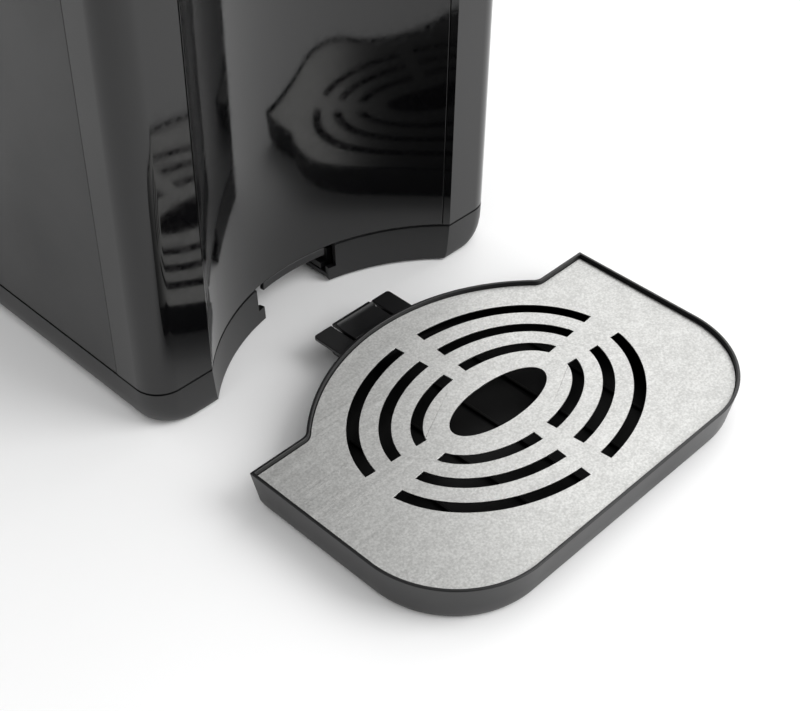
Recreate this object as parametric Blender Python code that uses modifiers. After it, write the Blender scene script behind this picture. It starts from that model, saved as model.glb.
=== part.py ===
"""Countertop hot water dispenser with a concave front and a pull-out drip tray.

Metres, +Z up, standing on z = 0. The machine faces -Y. The drip tray is pulled straight out of the
machine by its full travel. The origin is on the table, midway between the tray's front edge and the
back of the water tank. Depths below are measured backwards from the machine's front face.
"""
from math import asin, atan2, cos, pi, sin, sqrt

import bmesh
import bpy
from mathutils import Matrix, Vector

# ---------------------------------------------------------------- driving dimensions
WIDTH = 0.180
HEIGHT = 0.310
BODY_DEPTH = 0.195
COLUMN_DEPTH = 0.128
GAP = 0.0003

TRAY_DEPTH = 0.0994
TRAY_TRAVEL = 0.0470
DOCK_GAP = 0.0005
TRAY_SIDE_PLAY = 0.0006
TRAY_BACK_PLAY = 0.0007
TRAY_CORNER = 0.0408
TRAY_RIM_Z = 0.0167
TRAY_RIM = 0.0027
TRAY_LEDGE = 0.0031
TRAY_FLOOR = 0.0025
TRAY_MARGIN = 0.0014
TRAY_DRAFT = 0.0034
PLATE_TOP_Z = 0.0150
PLATE_THICKNESS = 0.0006

TAB_HALF = 0.0202
TAB_TOP_Z = 0.0117
TAB_THICKNESS = 0.0016
TAB_REACH = 0.0145
TAB_BODY_HALF = 0.0162
TAB_BODY_REACH = 0.0115
TAB_BODY_Z = 0.0040
TAB_SIDE_PLAY = 0.0009
TAB_BODY_PLAY = 0.0014
TAB_END_PLAY = 0.0051
TAB_LEDGE_DROP = 0.0034
FINGER_HALF = 0.0098
FINGER_LENGTH = 0.0125
FINGER_SLOT = 0.0012
FINGER_RIDGE = 0.0010
FINGER_PROUD = 0.0006

PATTERN_DEPTH = 0.0361
PATTERN_HOLE = (0.0240, 0.0098)
PATTERN_FIRST = (0.0342, 0.0195)
PATTERN_PITCH = 0.0115
PATTERN_RINGS = 3
SLOT_WIDTH = 0.0045
SPOKE_X_HALF = 0.0019
SPOKE_Y_HALF = 0.0017
SPOKE_FLARE = 0.08

RECESS_HALF = 0.0638
RECESS_DEPTH = 0.0264
RECESS_LEAN = 0.0010
CORNER = 0.0110
BACK_CORNER = 0.0160
BASE_BOTTOM = 0.0010
SEAM_Z = 0.0175
BASE_WALL = 0.0025
BASE_FLOOR = 0.0025
PANEL = 0.0023
STRIP_WRAP = 0.0220
STRIP_RETURN = 0.0028
CATCH_HALF = 0.0164
CATCH_PLAY = 0.0008
CATCH_PLATE = 0.0014
CATCH_DEPTH = 0.0125
CATCH_WING = 0.0095
GUIDE_WALL = 0.0023

HEAD_HEIGHT = 0.080
HEAD_REACH = 0.072
HEAD_CORNER = 0.036
HEAD_WALL = 0.0028
KNOB_PROUD = 0.012

TANK_FLOOR_Z = 0.034
TANK_WALL = 0.0022
TANK_FLOOR = 0.0025
TANK_INSET = 0.0015
NECK_RADIUS = 0.008
NECK_BORE = 0.0045
LID_THICKNESS = 0.006
PIN_RADIUS = 0.0012
BOARD_SHEET = 0.0016
BACK_SHEET = 0.0020

FRAME_SETBACK = 0.0336
FRAME_SHEET = 0.0015
FRAME_INSET = 0.0150

FOOT_RADIUS = 0.0062
FOOT_SUNK = 0.0009
SCREW_RADIUS = 0.0015
SCREW_HEAD_RADIUS = 0.0032
SCREW_HEAD_SUNK = 0.0010
POST_RADIUS = 0.0040
HOSE_RADIUS = 0.0030
WIRE = 0.0004

# ---------------------------------------------------------------- places that follow from them
FACE_Y = (TRAY_DEPTH - TRAY_MARGIN + TRAY_TRAVEL + DOCK_GAP - BODY_DEPTH) / 2
BACK_Y = FACE_Y + BODY_DEPTH
COLUMN_Y = FACE_Y + COLUMN_DEPTH
SHOULDER_Y = FACE_Y - DOCK_GAP - TRAY_TRAVEL
PATTERN_Y = SHOULDER_Y - PATTERN_DEPTH
SPOUT_Y = PATTERN_Y + TRAY_TRAVEL + TRAY_MARGIN
HALF = WIDTH / 2
PANEL_Z = SEAM_Z + GAP / 2
BASE_TOP = SEAM_Z - GAP / 2
HEAD_TOP = HEIGHT - KNOB_PROUD
HEAD_Z = HEAD_TOP - HEAD_HEIGHT
PANEL_TOP = HEAD_Z - GAP
TRAY_ARC_HALF = RECESS_HALF - TRAY_SIDE_PLAY
TRAY_ARC_RISE = RECESS_DEPTH - TRAY_BACK_PLAY
LEDGE_Z = TAB_TOP_Z - TAB_THICKNESS - TAB_LEDGE_DROP
SLOT_TOP_HALF = TAB_HALF + TAB_SIDE_PLAY
SLOT_LOW_HALF = TAB_BODY_HALF + TAB_BODY_PLAY
BAY_DEPTH = RECESS_DEPTH + TAB_REACH + TAB_END_PLAY
CATCH_LOW_Z = TAB_TOP_Z + FINGER_RIDGE + CATCH_PLAY
RECESS_RADIUS = (RECESS_HALF ** 2 + RECESS_DEPTH ** 2) / (2 * RECESS_DEPTH)
RECESS_CENTRE_Y = FACE_Y + RECESS_DEPTH - RECESS_RADIUS
TRAY_ARC_RADIUS = (TRAY_ARC_HALF ** 2 + TRAY_ARC_RISE ** 2) / (2 * TRAY_ARC_RISE)
TRAY_ARC_CENTRE_Y = SHOULDER_Y + TRAY_ARC_RISE - TRAY_ARC_RADIUS
TAB_BACK_Y = SHOULDER_Y + TRAY_ARC_RISE + TAB_REACH
FRAME_Y = FACE_Y + RECESS_DEPTH + FRAME_SETBACK
FRAME_Z = SEAM_Z + 0.0004
TANK_FRONT_Y = COLUMN_Y + 0.0020
TANK_MID_Y = (TANK_FRONT_Y + BACK_Y) / 2
LID_TOP = HEAD_TOP - 0.002
LID_Z = LID_TOP - LID_THICKNESS
TANK_TOP = LID_Z - 0.0015
HINGE_Y = BACK_Y - 0.0047
HINGE_Z = LID_Z + LID_THICKNESS / 2

FINISHES = {
    "gloss_black": ((0.010, 0.010, 0.011), 0.08, 0.0),
    "satin_black": ((0.030, 0.030, 0.031), 0.42, 0.0),
    "brushed_steel": ((0.62, 0.62, 0.61), 0.28, 1.0),
    "steel": ((0.50, 0.50, 0.50), 0.35, 1.0),
    "aluminium": ((0.70, 0.71, 0.72), 0.40, 1.0),
    "rubber": ((0.020, 0.020, 0.020), 0.80, 0.0),
    "silicone": ((0.75, 0.74, 0.70), 0.50, 0.0),
    "smoke_clear": ((0.10, 0.11, 0.12), 0.10, 0.0),
    "white_nylon": ((0.80, 0.80, 0.77), 0.45, 0.0),
    "circuit_board": ((0.02, 0.16, 0.07), 0.50, 0.0),
    "component": ((0.06, 0.06, 0.07), 0.45, 0.0),
}


# ---------------------------------------------------------------- scene and building blocks
def clear_scene():
    for old in list(bpy.data.objects):
        bpy.data.objects.remove(old, do_unlink=True)


def new_collection(name):
    group = bpy.data.collections.new(name)
    bpy.context.scene.collection.children.link(group)
    return group


clear_scene()
PARTS = new_collection("hot_water_dispenser")
CUTTERS = new_collection("cutters")


def place(name, mesh, finish):
    """Link a mesh as a part with its material, or as a hidden cutter when finish is None."""
    piece = bpy.data.objects.new(name, mesh)
    if finish is None:
        CUTTERS.objects.link(piece)
        piece.hide_render = True
        piece.display_type = "WIRE"
        return piece
    PARTS.objects.link(piece)
    colour, roughness, metallic = FINISHES[finish]
    material = bpy.data.materials.new(name + "_" + finish)
    material.use_nodes = True
    shader = material.node_tree.nodes["Principled BSDF"]
    shader.inputs["Base Color"].default_value = (*colour, 1.0)
    shader.inputs["Roughness"].default_value = roughness
    shader.inputs["Metallic"].default_value = metallic
    mesh.materials.append(material)
    return piece


def smooth(piece):
    piece.data.shade_smooth()
    piece.data.set_sharp_from_angle(angle=pi / 6)
    return piece


def cut(piece, *cutters):
    for cutter in cutters:
        step = piece.modifiers.new("cut " + cutter.name, "BOOLEAN")
        step.operation = "DIFFERENCE"
        step.object = cutter
    return piece


def join(piece, *others):
    for other in others:
        step = piece.modifiers.new("join " + other.name, "BOOLEAN")
        step.operation = "UNION"
        step.object = other
    return piece


def on_joint(name, location, *children):
    """An empty on a joint's axis, with the moving pieces parented to it where they stand."""
    pivot = bpy.data.objects.new(name, None)
    PARTS.objects.link(pivot)
    pivot.location = location
    for child in children:
        child.parent = pivot
        child.matrix_parent_inverse = Matrix.Translation(location).inverted()


def box(name, low, high, finish=None):
    size = Vector(high) - Vector(low)
    centre = (Vector(high) + Vector(low)) / 2
    mesh = bpy.data.meshes.new(name)
    shape = bmesh.new()
    bmesh.ops.create_cube(shape, size=1.0, matrix=Matrix.Translation(centre) @ Matrix.Diagonal((*size, 1.0)))
    shape.to_mesh(mesh)
    shape.free()
    return place(name, mesh, finish)


AXIS_TURN = {
    "X": Matrix.Rotation(pi / 2, 4, "Y"),
    "Y": Matrix.Rotation(-pi / 2, 4, "X"),
    "Z": Matrix.Identity(4),
}


def rod(name, radius, start, end, finish=None, sides=20):
    """A round bar between two points on a line along X, Y or Z."""
    run = Vector(end) - Vector(start)
    axis = "XYZ"[max(range(3), key=lambda i: abs(run[i]))]
    mesh = bpy.data.meshes.new(name)
    shape = bmesh.new()
    bmesh.ops.create_cone(shape, cap_ends=True, segments=sides, radius1=radius, radius2=radius,
                          depth=run.length, matrix=AXIS_TURN[axis])
    bmesh.ops.translate(shape, verts=shape.verts, vec=(Vector(start) + Vector(end)) / 2)
    shape.to_mesh(mesh)
    shape.free()
    return smooth(place(name, mesh, finish))


def turned(name, profile, origin, axis="Z", finish=None, steps=24, closed=True):
    """A Screw round the axis: profile points are (radius, height), down the outer side first."""
    mesh = bpy.data.meshes.new(name)
    last = len(profile) - 1
    edges = [(i, i + 1) for i in range(last)] + ([(last, 0)] if closed else [])
    mesh.from_pydata([(radius, 0.0, height) for radius, height in profile], edges, [])
    piece = place(name, mesh, finish)
    piece.matrix_world = Matrix.Translation(origin) @ AXIS_TURN[axis]
    screw = piece.modifiers.new("turn", "SCREW")
    screw.angle = 2 * pi
    screw.steps = screw.render_steps = steps
    screw.use_merge_vertices = True
    screw.merge_threshold = 0.00001
    return piece


def mesh_from_curve(name, curve, move, finish):
    """Turn a curve into a welded mesh, move it into place and drop the curve."""
    source = bpy.data.objects.new(name + "_curve", curve)
    bpy.context.scene.collection.objects.link(source)
    view = bpy.context.evaluated_depsgraph_get()
    mesh = bpy.data.meshes.new_from_object(source.evaluated_get(view))
    mesh.name = name
    shape = bmesh.new()
    shape.from_mesh(mesh)
    bmesh.ops.remove_doubles(shape, verts=shape.verts, dist=0.000005)
    bmesh.ops.recalc_face_normals(shape, faces=shape.faces)
    bmesh.ops.transform(shape, matrix=move, verts=shape.verts)
    shape.to_mesh(mesh)
    shape.free()
    mesh.materials.clear()
    bpy.data.objects.remove(source, do_unlink=True)
    return place(name, mesh, finish)


def slab(name, outlines, low, high, finish=None, turn=None):
    """Flat outlines (the first is the rim, the rest are holes) filled from height low to high."""
    curve = bpy.data.curves.new(name, "CURVE")
    curve.dimensions = "2D"
    curve.fill_mode = "BOTH"
    curve.extrude = (high - low) / 2
    for outline in outlines:
        spline = curve.splines.new("POLY")
        spline.points.add(len(outline) - 1)
        for point, (x, y) in zip(spline.points, outline):
            point.co = (x, y, 0.0, 1.0)
        spline.use_cyclic_u = True
    move = (turn or Matrix.Identity(4)) @ Matrix.Translation((0.0, 0.0, (low + high) / 2))
    return mesh_from_curve(name, curve, move, finish)


def tube(name, points, radius, finish=None, density=4, resolution=2):
    """A hose or wire through the points: a smooth curve read off as a poly spline."""
    path = smooth_path([Vector(p) for p in points], density) if density > 1 else points
    curve = bpy.data.curves.new(name, "CURVE")
    curve.dimensions = "3D"
    curve.bevel_depth = radius
    curve.bevel_resolution = resolution
    curve.use_fill_caps = True
    spline = curve.splines.new("POLY")
    spline.points.add(len(path) - 1)
    for point, place_at in zip(spline.points, path):
        point.co = (*place_at, 1.0)
    return smooth(mesh_from_curve(name, curve, Matrix.Identity(4), finish))


def smooth_path(points, density):
    """Catmull-Rom points between the given ones, ends kept."""
    padded = [2 * points[0] - points[1], *points, 2 * points[-1] - points[-2]]
    path = []
    for a, b, c, d in zip(padded, padded[1:], padded[2:], padded[3:]):
        for step in range(density):
            t = step / density
            path.append(0.5 * (2 * b + (c - a) * t + (2 * a - 5 * b + 4 * c - d) * t * t
                               + (3 * b - a - 3 * c + d) * t ** 3))
    return path + [points[-1]]


def coil(name, radius, wire, turns, origin, length, axis, finish):
    """A helical spring that starts at origin and runs along the axis."""
    sides = 10
    count = turns * sides
    points = []
    for i in range(count + 1):
        angle = 2 * pi * i / sides
        along = length * i / count
        local = Vector((radius * cos(angle), radius * sin(angle), along))
        points.append(AXIS_TURN[axis] @ local + Vector(origin))
    return tube(name, points, wire, finish, density=1, resolution=0)


def loft(name, rings, finish=None):
    """Skin a stack of outlines that all have the same number of points, lowest first."""
    count = len(rings[0])
    verts = [point for ring in rings for point in ring]
    faces = [tuple(reversed(range(count))), tuple(range(count * (len(rings) - 1), count * len(rings)))]
    for level in range(len(rings) - 1):
        base = level * count
        for i in range(count):
            j = (i + 1) % count
            faces.append((base + i, base + j, base + count + j, base + count + i))
    mesh = bpy.data.meshes.new(name)
    mesh.from_pydata(verts, [], faces)
    return smooth(place(name, mesh, finish))


def wall(name, path, low, high, thickness, finish):
    """A standing sheet along a path, its thickness on the left of the path's direction."""
    count = len(path)
    verts = [(x, y, low) for x, y in path] + [(x, y, high) for x, y in path]
    faces = [(i, i + 1, count + i + 1, count + i) for i in range(count - 1)]
    mesh = bpy.data.meshes.new(name)
    mesh.from_pydata(verts, [], faces)
    piece = place(name, mesh, finish)
    shell = piece.modifiers.new("thickness", "SOLIDIFY")
    shell.thickness = thickness
    shell.offset = -1.0
    shell.use_even_offset = True
    return piece


# ---------------------------------------------------------------- outlines seen from above
def arc(cx, cy, radius, start, end, steps):
    return [(cx + radius * cos(start + (end - start) * i / steps),
             cy + radius * sin(start + (end - start) * i / steps)) for i in range(steps + 1)]


def raised(outline, height):
    return [(x, y, height) for x, y in outline]


def body_outline(front=0.0, side=0.0, recess=0.0):
    """The machine's plan, anticlockwise from the recess's left edge, with each face moved inwards."""
    face = FACE_Y + front
    radius = RECESS_RADIUS + recess
    edge = sqrt(radius ** 2 - (face - RECESS_CENTRE_Y) ** 2)
    swing = atan2(face - RECESS_CENTRE_Y, edge)
    corner = CORNER + side
    back = max(BACK_CORNER - max(front, side), 0.002)
    x, y = HALF - side, BACK_Y - front
    return (arc(0.0, RECESS_CENTRE_Y, radius, pi - swing, swing, 20)
            + arc(x - corner, face + corner, corner, -pi / 2, 0.0, 5)
            + arc(x - back, y - back, back, 0.0, pi / 2, 5)
            + arc(back - x, y - back, back, pi / 2, pi, 5)
            + arc(corner - x, face + corner, corner, pi, 3 * pi / 2, 5))


def tray_outline(inset=0.0):
    """The tray's plan, anticlockwise from its left shoulder, moved inwards by inset."""
    x = HALF - inset
    shoulder = SHOULDER_Y - inset
    front = SHOULDER_Y - TRAY_DEPTH + inset
    corner = TRAY_CORNER - inset
    radius = TRAY_ARC_RADIUS - inset
    rise = shoulder - TRAY_ARC_CENTRE_Y
    swing = atan2(rise, sqrt(radius ** 2 - rise ** 2))
    return ([(-x, shoulder)]
            + arc(corner - x, front + corner, corner, pi, 3 * pi / 2, 9)
            + arc(x - corner, front + corner, corner, 3 * pi / 2, 2 * pi, 9)
            + [(x, shoulder)]
            + arc(0.0, TRAY_ARC_CENTRE_Y, radius, swing, pi - swing, 18))


def head_outline(inset=0.0):
    """The head's plan, anticlockwise from its left rear corner, moved inwards by inset."""
    x = HALF - inset
    front = FACE_Y - HEAD_REACH + inset
    back = COLUMN_Y - inset
    corner = HEAD_CORNER - inset
    return ([(-x, back)]
            + arc(corner - x, front + corner, corner, pi, 3 * pi / 2, 8)
            + arc(x - corner, front + corner, corner, 3 * pi / 2, 2 * pi, 8)
            + [(x, back)])


def rear_outline(inset, front, back_extra=0.0):
    """The plan behind the column: square in front, rounded at the back."""
    x = HALF - inset
    back = BACK_Y - inset - back_extra
    corner = BACK_CORNER - inset
    return ([(-x, front), (x, front)]
            + arc(x - corner, back - corner, corner, 0.0, pi / 2, 5)
            + arc(corner - x, back - corner, corner, pi / 2, pi, 5))


def rounded_box(half, front, back, corner):
    """A rectangle with round corners, centred on x = 0."""
    return (arc(half - corner, front + corner, corner, -pi / 2, 0.0, 4)
            + arc(half - corner, back - corner, corner, 0.0, pi / 2, 4)
            + arc(corner - half, back - corner, corner, pi / 2, pi, 4)
            + arc(corner - half, front + corner, corner, pi, 3 * pi / 2, 4))


FRONT_FOOT_INSET, FRONT_FOOT_SETBACK, REAR_FOOT_INSET = 0.0140, 0.0145, 0.0200
FOOT_PLACES = {
    "front_left": (-(HALF - FRONT_FOOT_INSET), FACE_Y + FRONT_FOOT_SETBACK),
    "front_right": (HALF - FRONT_FOOT_INSET, FACE_Y + FRONT_FOOT_SETBACK),
    "rear_left": (-(HALF - REAR_FOOT_INSET), BACK_Y - REAR_FOOT_INSET),
    "rear_right": (HALF - REAR_FOOT_INSET, BACK_Y - REAR_FOOT_INSET),
}
SCREW_INSET, SCREW_BEFORE_PLATE, SCREW_BEFORE_BACK = 0.0280, 0.0120, 0.0160
SCREW_PLACES = {
    "front_left": (-(HALF - SCREW_INSET), FRAME_Y - SCREW_BEFORE_PLATE),
    "front_right": (HALF - SCREW_INSET, FRAME_Y - SCREW_BEFORE_PLATE),
    "rear_left": (-(HALF - SCREW_INSET), COLUMN_Y - SCREW_BEFORE_BACK),
    "rear_right": (HALF - SCREW_INSET, COLUMN_Y - SCREW_BEFORE_BACK),
}


# ---------------------------------------------------------------- base
def base_housing():
    """Moulded pan with the concave front, the stepped opening for the tray's tab and foot pockets."""
    piece = loft("base_housing", [
        raised(body_outline(0.0006, 0.0032, -RECESS_LEAN), BASE_BOTTOM),
        raised(body_outline(0.0002, 0.0018, -0.9 * RECESS_LEAN), BASE_BOTTOM + 0.0015),
        raised(body_outline(0.0, 0.0007, -0.6 * RECESS_LEAN), BASE_BOTTOM + 0.0060),
        raised(body_outline(), BASE_TOP)], "satin_black")
    inside = body_outline(BASE_WALL, BASE_WALL + 0.0015, BASE_WALL)
    cut(piece, slab("base_hollow", [inside], BASE_BOTTOM + BASE_FLOOR, BASE_TOP + 0.005))
    past = 0.005
    near, far = FACE_Y + RECESS_DEPTH - 2 * past, FACE_Y + BAY_DEPTH
    cut(piece, box("tab_way_low", (-SLOT_LOW_HALF, near, -past), (SLOT_LOW_HALF, far, BASE_TOP + past)),
        box("tab_way_high", (-SLOT_TOP_HALF, near, LEDGE_Z), (SLOT_TOP_HALF, far, BASE_TOP + 2 * past)))
    for where, (x, y) in FOOT_PLACES.items():
        roof = BASE_BOTTOM + FOOT_SUNK + GAP
        cut(piece, rod("foot_pocket_" + where, FOOT_RADIUS + GAP, (x, y, -past), (x, y, roof)))
    for where, (x, y) in SCREW_PLACES.items():
        seat, around = BASE_BOTTOM + SCREW_HEAD_SUNK + GAP, SCREW_HEAD_RADIUS + 2 * GAP
        cut(piece, rod("screw_seat_" + where, around, (x, y, -past), (x, y, seat), sides=16),
            rod("screw_way_" + where, SCREW_RADIUS + 0.0005, (x, y, -past), (x, y, 2 * past), sides=12))


def feet_and_screws():
    for where, (x, y) in FOOT_PLACES.items():
        rod("foot_" + where, FOOT_RADIUS, (x, y, 0.0), (x, y, BASE_BOTTOM + FOOT_SUNK), "rubber")
    for where, (x, y) in SCREW_PLACES.items():
        seat, tip, face = BASE_BOTTOM + SCREW_HEAD_SUNK, FRAME_Z + 0.0005, BASE_BOTTOM + 0.0001
        turned("base_screw_" + where,
               [(0.0, tip), (SCREW_RADIUS, tip), (SCREW_RADIUS, seat), (SCREW_HEAD_RADIUS, seat),
                (SCREW_HEAD_RADIUS, face), (0.0, face)],
               (x, y, 0.0), finish="steel", steps=12, closed=False)


def tray_guides():
    """Two L rails on the base floor that the tray's tab runs between."""
    for side, name in ((-1, "tray_guide_left"), (1, "tray_guide_right")):
        low, top, shelf = BASE_BOTTOM + BASE_FLOOR + GAP, TAB_TOP_Z + GAP, LEDGE_Z - GAP
        inner, upright = SLOT_LOW_HALF + GAP, SLOT_TOP_HALF + GAP
        outer = upright + GUIDE_WALL
        section = [(inner, low), (outer, low), (outer, top), (upright, top), (upright, shelf), (inner, shelf)]
        section = [(side * x, z) for x, z in section]
        near = FACE_Y + RECESS_DEPTH + BASE_WALL + GAP
        slab(name, [section], -(FACE_Y + BAY_DEPTH), -near, "satin_black", Matrix.Rotation(pi / 2, 4, "X"))


def tray_catch():
    """The bridge over the tab's opening; the latch finger snaps up behind its front lip."""
    reach = asin(CATCH_HALF / (RECESS_RADIUS + GAP))
    inner = asin((CATCH_HALF - 0.0006) / (RECESS_RADIUS + 0.0012))
    front = arc(0.0, RECESS_CENTRE_Y, RECESS_RADIUS + 0.0012, pi / 2 + inner, pi / 2 - inner, 8)
    neck = FACE_Y + BAY_DEPTH
    back = neck + CATCH_DEPTH
    wing, top = SLOT_TOP_HALF + CATCH_WING, BASE_TOP - GAP
    under = top - CATCH_PLATE
    side, slope = CATCH_HALF - 0.0006, 0.0030
    plate = front + [(side, neck - slope), (wing, neck), (wing, back), (-wing, back), (-wing, neck),
                     (-side, neck - slope)]
    piece = slab("tray_catch", [plate], under, top, "satin_black")
    lip = (arc(0.0, RECESS_CENTRE_Y, RECESS_RADIUS + GAP, pi / 2 + reach, pi / 2 - reach, 8)
           + arc(0.0, RECESS_CENTRE_Y, RECESS_RADIUS + 0.0022, pi / 2 - reach, pi / 2 + reach, 8))
    join(piece, slab("catch_lip", [lip], CATCH_LOW_Z, top + 0.0001))
    for side in (-1, 1):
        x, y = side * (wing - 0.0045), (neck + back) / 2
        floor = BASE_BOTTOM + BASE_FLOOR + GAP
        join(piece, rod("catch_post", 0.0030, (x, y, floor), (x, y, under + 0.0004), sides=12))


def inner_frame():
    """Bent sheet with a floor flange on four posts and an upright plate for the working parts."""
    x = HALF - FRAME_INSET
    near, far = FACE_Y + RECESS_DEPTH + 2 * PANEL, COLUMN_Y - 0.004
    flange = [(-x, near), (x, near), (x, far), (-x, far)]
    piece = slab("inner_frame", [flange], FRAME_Z, FRAME_Z + FRAME_SHEET, "steel")
    foot = FRAME_Z + 0.0005
    join(piece, box("frame_upright", (-x, FRAME_Y, foot), (x, FRAME_Y + FRAME_SHEET, HEAD_Z - 0.008)))
    for where, (px, py) in SCREW_PLACES.items():
        low = BASE_BOTTOM + BASE_FLOOR + GAP
        join(piece, rod("frame_post_" + where, POST_RADIUS, (px, py, low), (px, py, foot), sides=16))
        cut(piece, rod("frame_bore_" + where, SCREW_RADIUS + 0.0004, (px, py, 0.0), (px, py, 0.025), sides=12))
    near, far = FRAME_Y - 0.01, FRAME_Y + 0.01
    for x, z in ((HOT_WAY_X, HOT_WAY_Z), (METER_X, METER_Z + METER_PORT_Z)):
        cut(piece, rod("hose_way", 2 * HOSE_RADIUS, (x, near, z), (x, far, z), sides=16))


# ---------------------------------------------------------------- outer panels of the column
def front_panels():
    """The concave recess panel and the two glossy strips that wrap from it round the corners."""
    edge_swing = atan2(FACE_Y - RECESS_CENTRE_Y, RECESS_HALF)
    back_swing = STRIP_RETURN / RECESS_RADIUS
    joint_swing = edge_swing + back_swing + GAP / RECESS_RADIUS
    panel = arc(0.0, RECESS_CENTRE_Y, RECESS_RADIUS, pi - joint_swing, joint_swing, 24)
    wall("recess_panel", panel, PANEL_Z, PANEL_TOP, PANEL, "gloss_black")
    strip = (arc(0.0, RECESS_CENTRE_Y, RECESS_RADIUS, edge_swing + back_swing, edge_swing, 2)
             + arc(HALF - CORNER, FACE_Y + CORNER, CORNER, -pi / 2, 0.0, 6)
             + [(HALF, FACE_Y + STRIP_WRAP)])
    wall("front_strip_right", strip, PANEL_Z, PANEL_TOP, PANEL, "gloss_black")
    mirrored = [(-x, y) for x, y in reversed(strip)]
    wall("front_strip_left", mirrored, PANEL_Z, PANEL_TOP, PANEL, "gloss_black")


def side_and_back_panels():
    near = FACE_Y + STRIP_WRAP + GAP
    box("side_panel_right", (HALF - PANEL, near, PANEL_Z), (HALF, COLUMN_Y, PANEL_TOP), "satin_black")
    box("side_panel_left", (-HALF, near, PANEL_Z), (PANEL - HALF, COLUMN_Y, PANEL_TOP), "satin_black")
    x = HALF - PANEL - GAP
    back = box("column_back", (-x, COLUMN_Y - BACK_SHEET, PANEL_Z), (x, COLUMN_Y, PANEL_TOP), "satin_black")
    near, far = COLUMN_Y - 0.01, COLUMN_Y + 0.01
    cut(back, rod("hose_way_back", 0.0055, (SUCTION_X, near, PORT_Z), (SUCTION_X, far, PORT_Z), sides=16))


# ---------------------------------------------------------------- head
BUTTON_PLACES = {"power_button": -0.034, "start_button": 0.0, "child_lock_button": 0.034}
BUTTON_Y = FACE_Y - 0.008
DIAL_Y = FACE_Y + 0.042
BUTTON_RADIUS = 0.0085
BUTTON_TRAVEL = 0.0012
DIAL_RADIUS = 0.017
NOZZLE_RADIUS = 0.010
STEM_RADIUS = 0.0030
POCKET = 0.0017
BOARD_DROP = 0.0079


def head_ways():
    """Cutters for the buttons and the dial's stem, shared by the head and its control panel."""
    low, high = HEAD_TOP - 0.01, HEAD_TOP + 0.01
    ways = [rod("way_" + name, BUTTON_RADIUS + 0.0004, (x, BUTTON_Y, low), (x, BUTTON_Y, high))
            for name, x in BUTTON_PLACES.items()]
    return ways + [rod("way_dial", STEM_RADIUS + 0.0006, (0.0, DIAL_Y, low), (0.0, DIAL_Y, high), sides=16)]


def head():
    """Overhanging housing, its underside plate with the spout, and the control panel on top."""
    piece = loft("head_shell", [
        raised(head_outline(0.0020), HEAD_Z), raised(head_outline(), HEAD_Z + 0.0025),
        raised(head_outline(), HEAD_TOP - 0.010), raised(head_outline(0.0022), HEAD_TOP - 0.0035),
        raised(head_outline(0.0070), HEAD_TOP)], "gloss_black")
    hollow = loft("head_hollow", [
        raised(head_outline(HEAD_WALL), HEAD_Z - 0.01), raised(head_outline(HEAD_WALL), HEAD_TOP - 0.014),
        raised(head_outline(HEAD_WALL + 0.0060), HEAD_TOP - 0.0034)])
    panel_half, panel_front, panel_back = 0.060, FACE_Y - 0.056, FACE_Y + 0.072
    pocket = slab("panel_pocket", [rounded_box(panel_half + GAP, panel_front - GAP, panel_back + GAP, 0.0103)],
                  HEAD_TOP - POCKET, HEAD_TOP + 0.005)
    ways = head_ways()
    cut(piece, hollow, pocket, *ways)
    panel = slab("control_panel", [rounded_box(panel_half, panel_front, panel_back, 0.010)],
                 HEAD_TOP - POCKET + GAP, HEAD_TOP, "gloss_black")
    cut(panel, *ways)
    window = rounded_box(0.024, FACE_Y - 0.049, FACE_Y - 0.029, 0.003)
    slab("display_window", [window], HEAD_TOP + GAP, HEAD_TOP + 0.0011, "smoke_clear")
    inset = HEAD_WALL + GAP
    x, front, back = HALF - inset, FACE_Y - HEAD_REACH + inset, FACE_Y + RECESS_DEPTH + 0.004
    corner = HEAD_CORNER - inset
    under = ([(-x, back)] + arc(corner - x, front + corner, corner, pi, 3 * pi / 2, 8)
             + arc(x - corner, front + corner, corner, 3 * pi / 2, 2 * pi, 8) + [(x, back)])
    plate = slab("head_underside", [under], HEAD_Z + 0.0010, HEAD_Z + 0.0030, "satin_black")
    low, high = HEAD_Z - 0.01, HEAD_Z + 0.01
    cut(plate, rod("spout_way", NOZZLE_RADIUS + GAP, (0.0, SPOUT_Y, low), (0.0, SPOUT_Y, high)))
    turned("spout_nozzle",
           [(NOZZLE_RADIUS + 0.003, 0.0056), (NOZZLE_RADIUS + 0.003, 0.0033), (NOZZLE_RADIUS, 0.0033),
            (NOZZLE_RADIUS - 0.0008, -0.0080), (NOZZLE_RADIUS - 0.003, -0.0120), (0.0030, -0.0120),
            (0.0030, 0.0056)], (0.0, SPOUT_Y, HEAD_Z), finish="satin_black")


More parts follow.
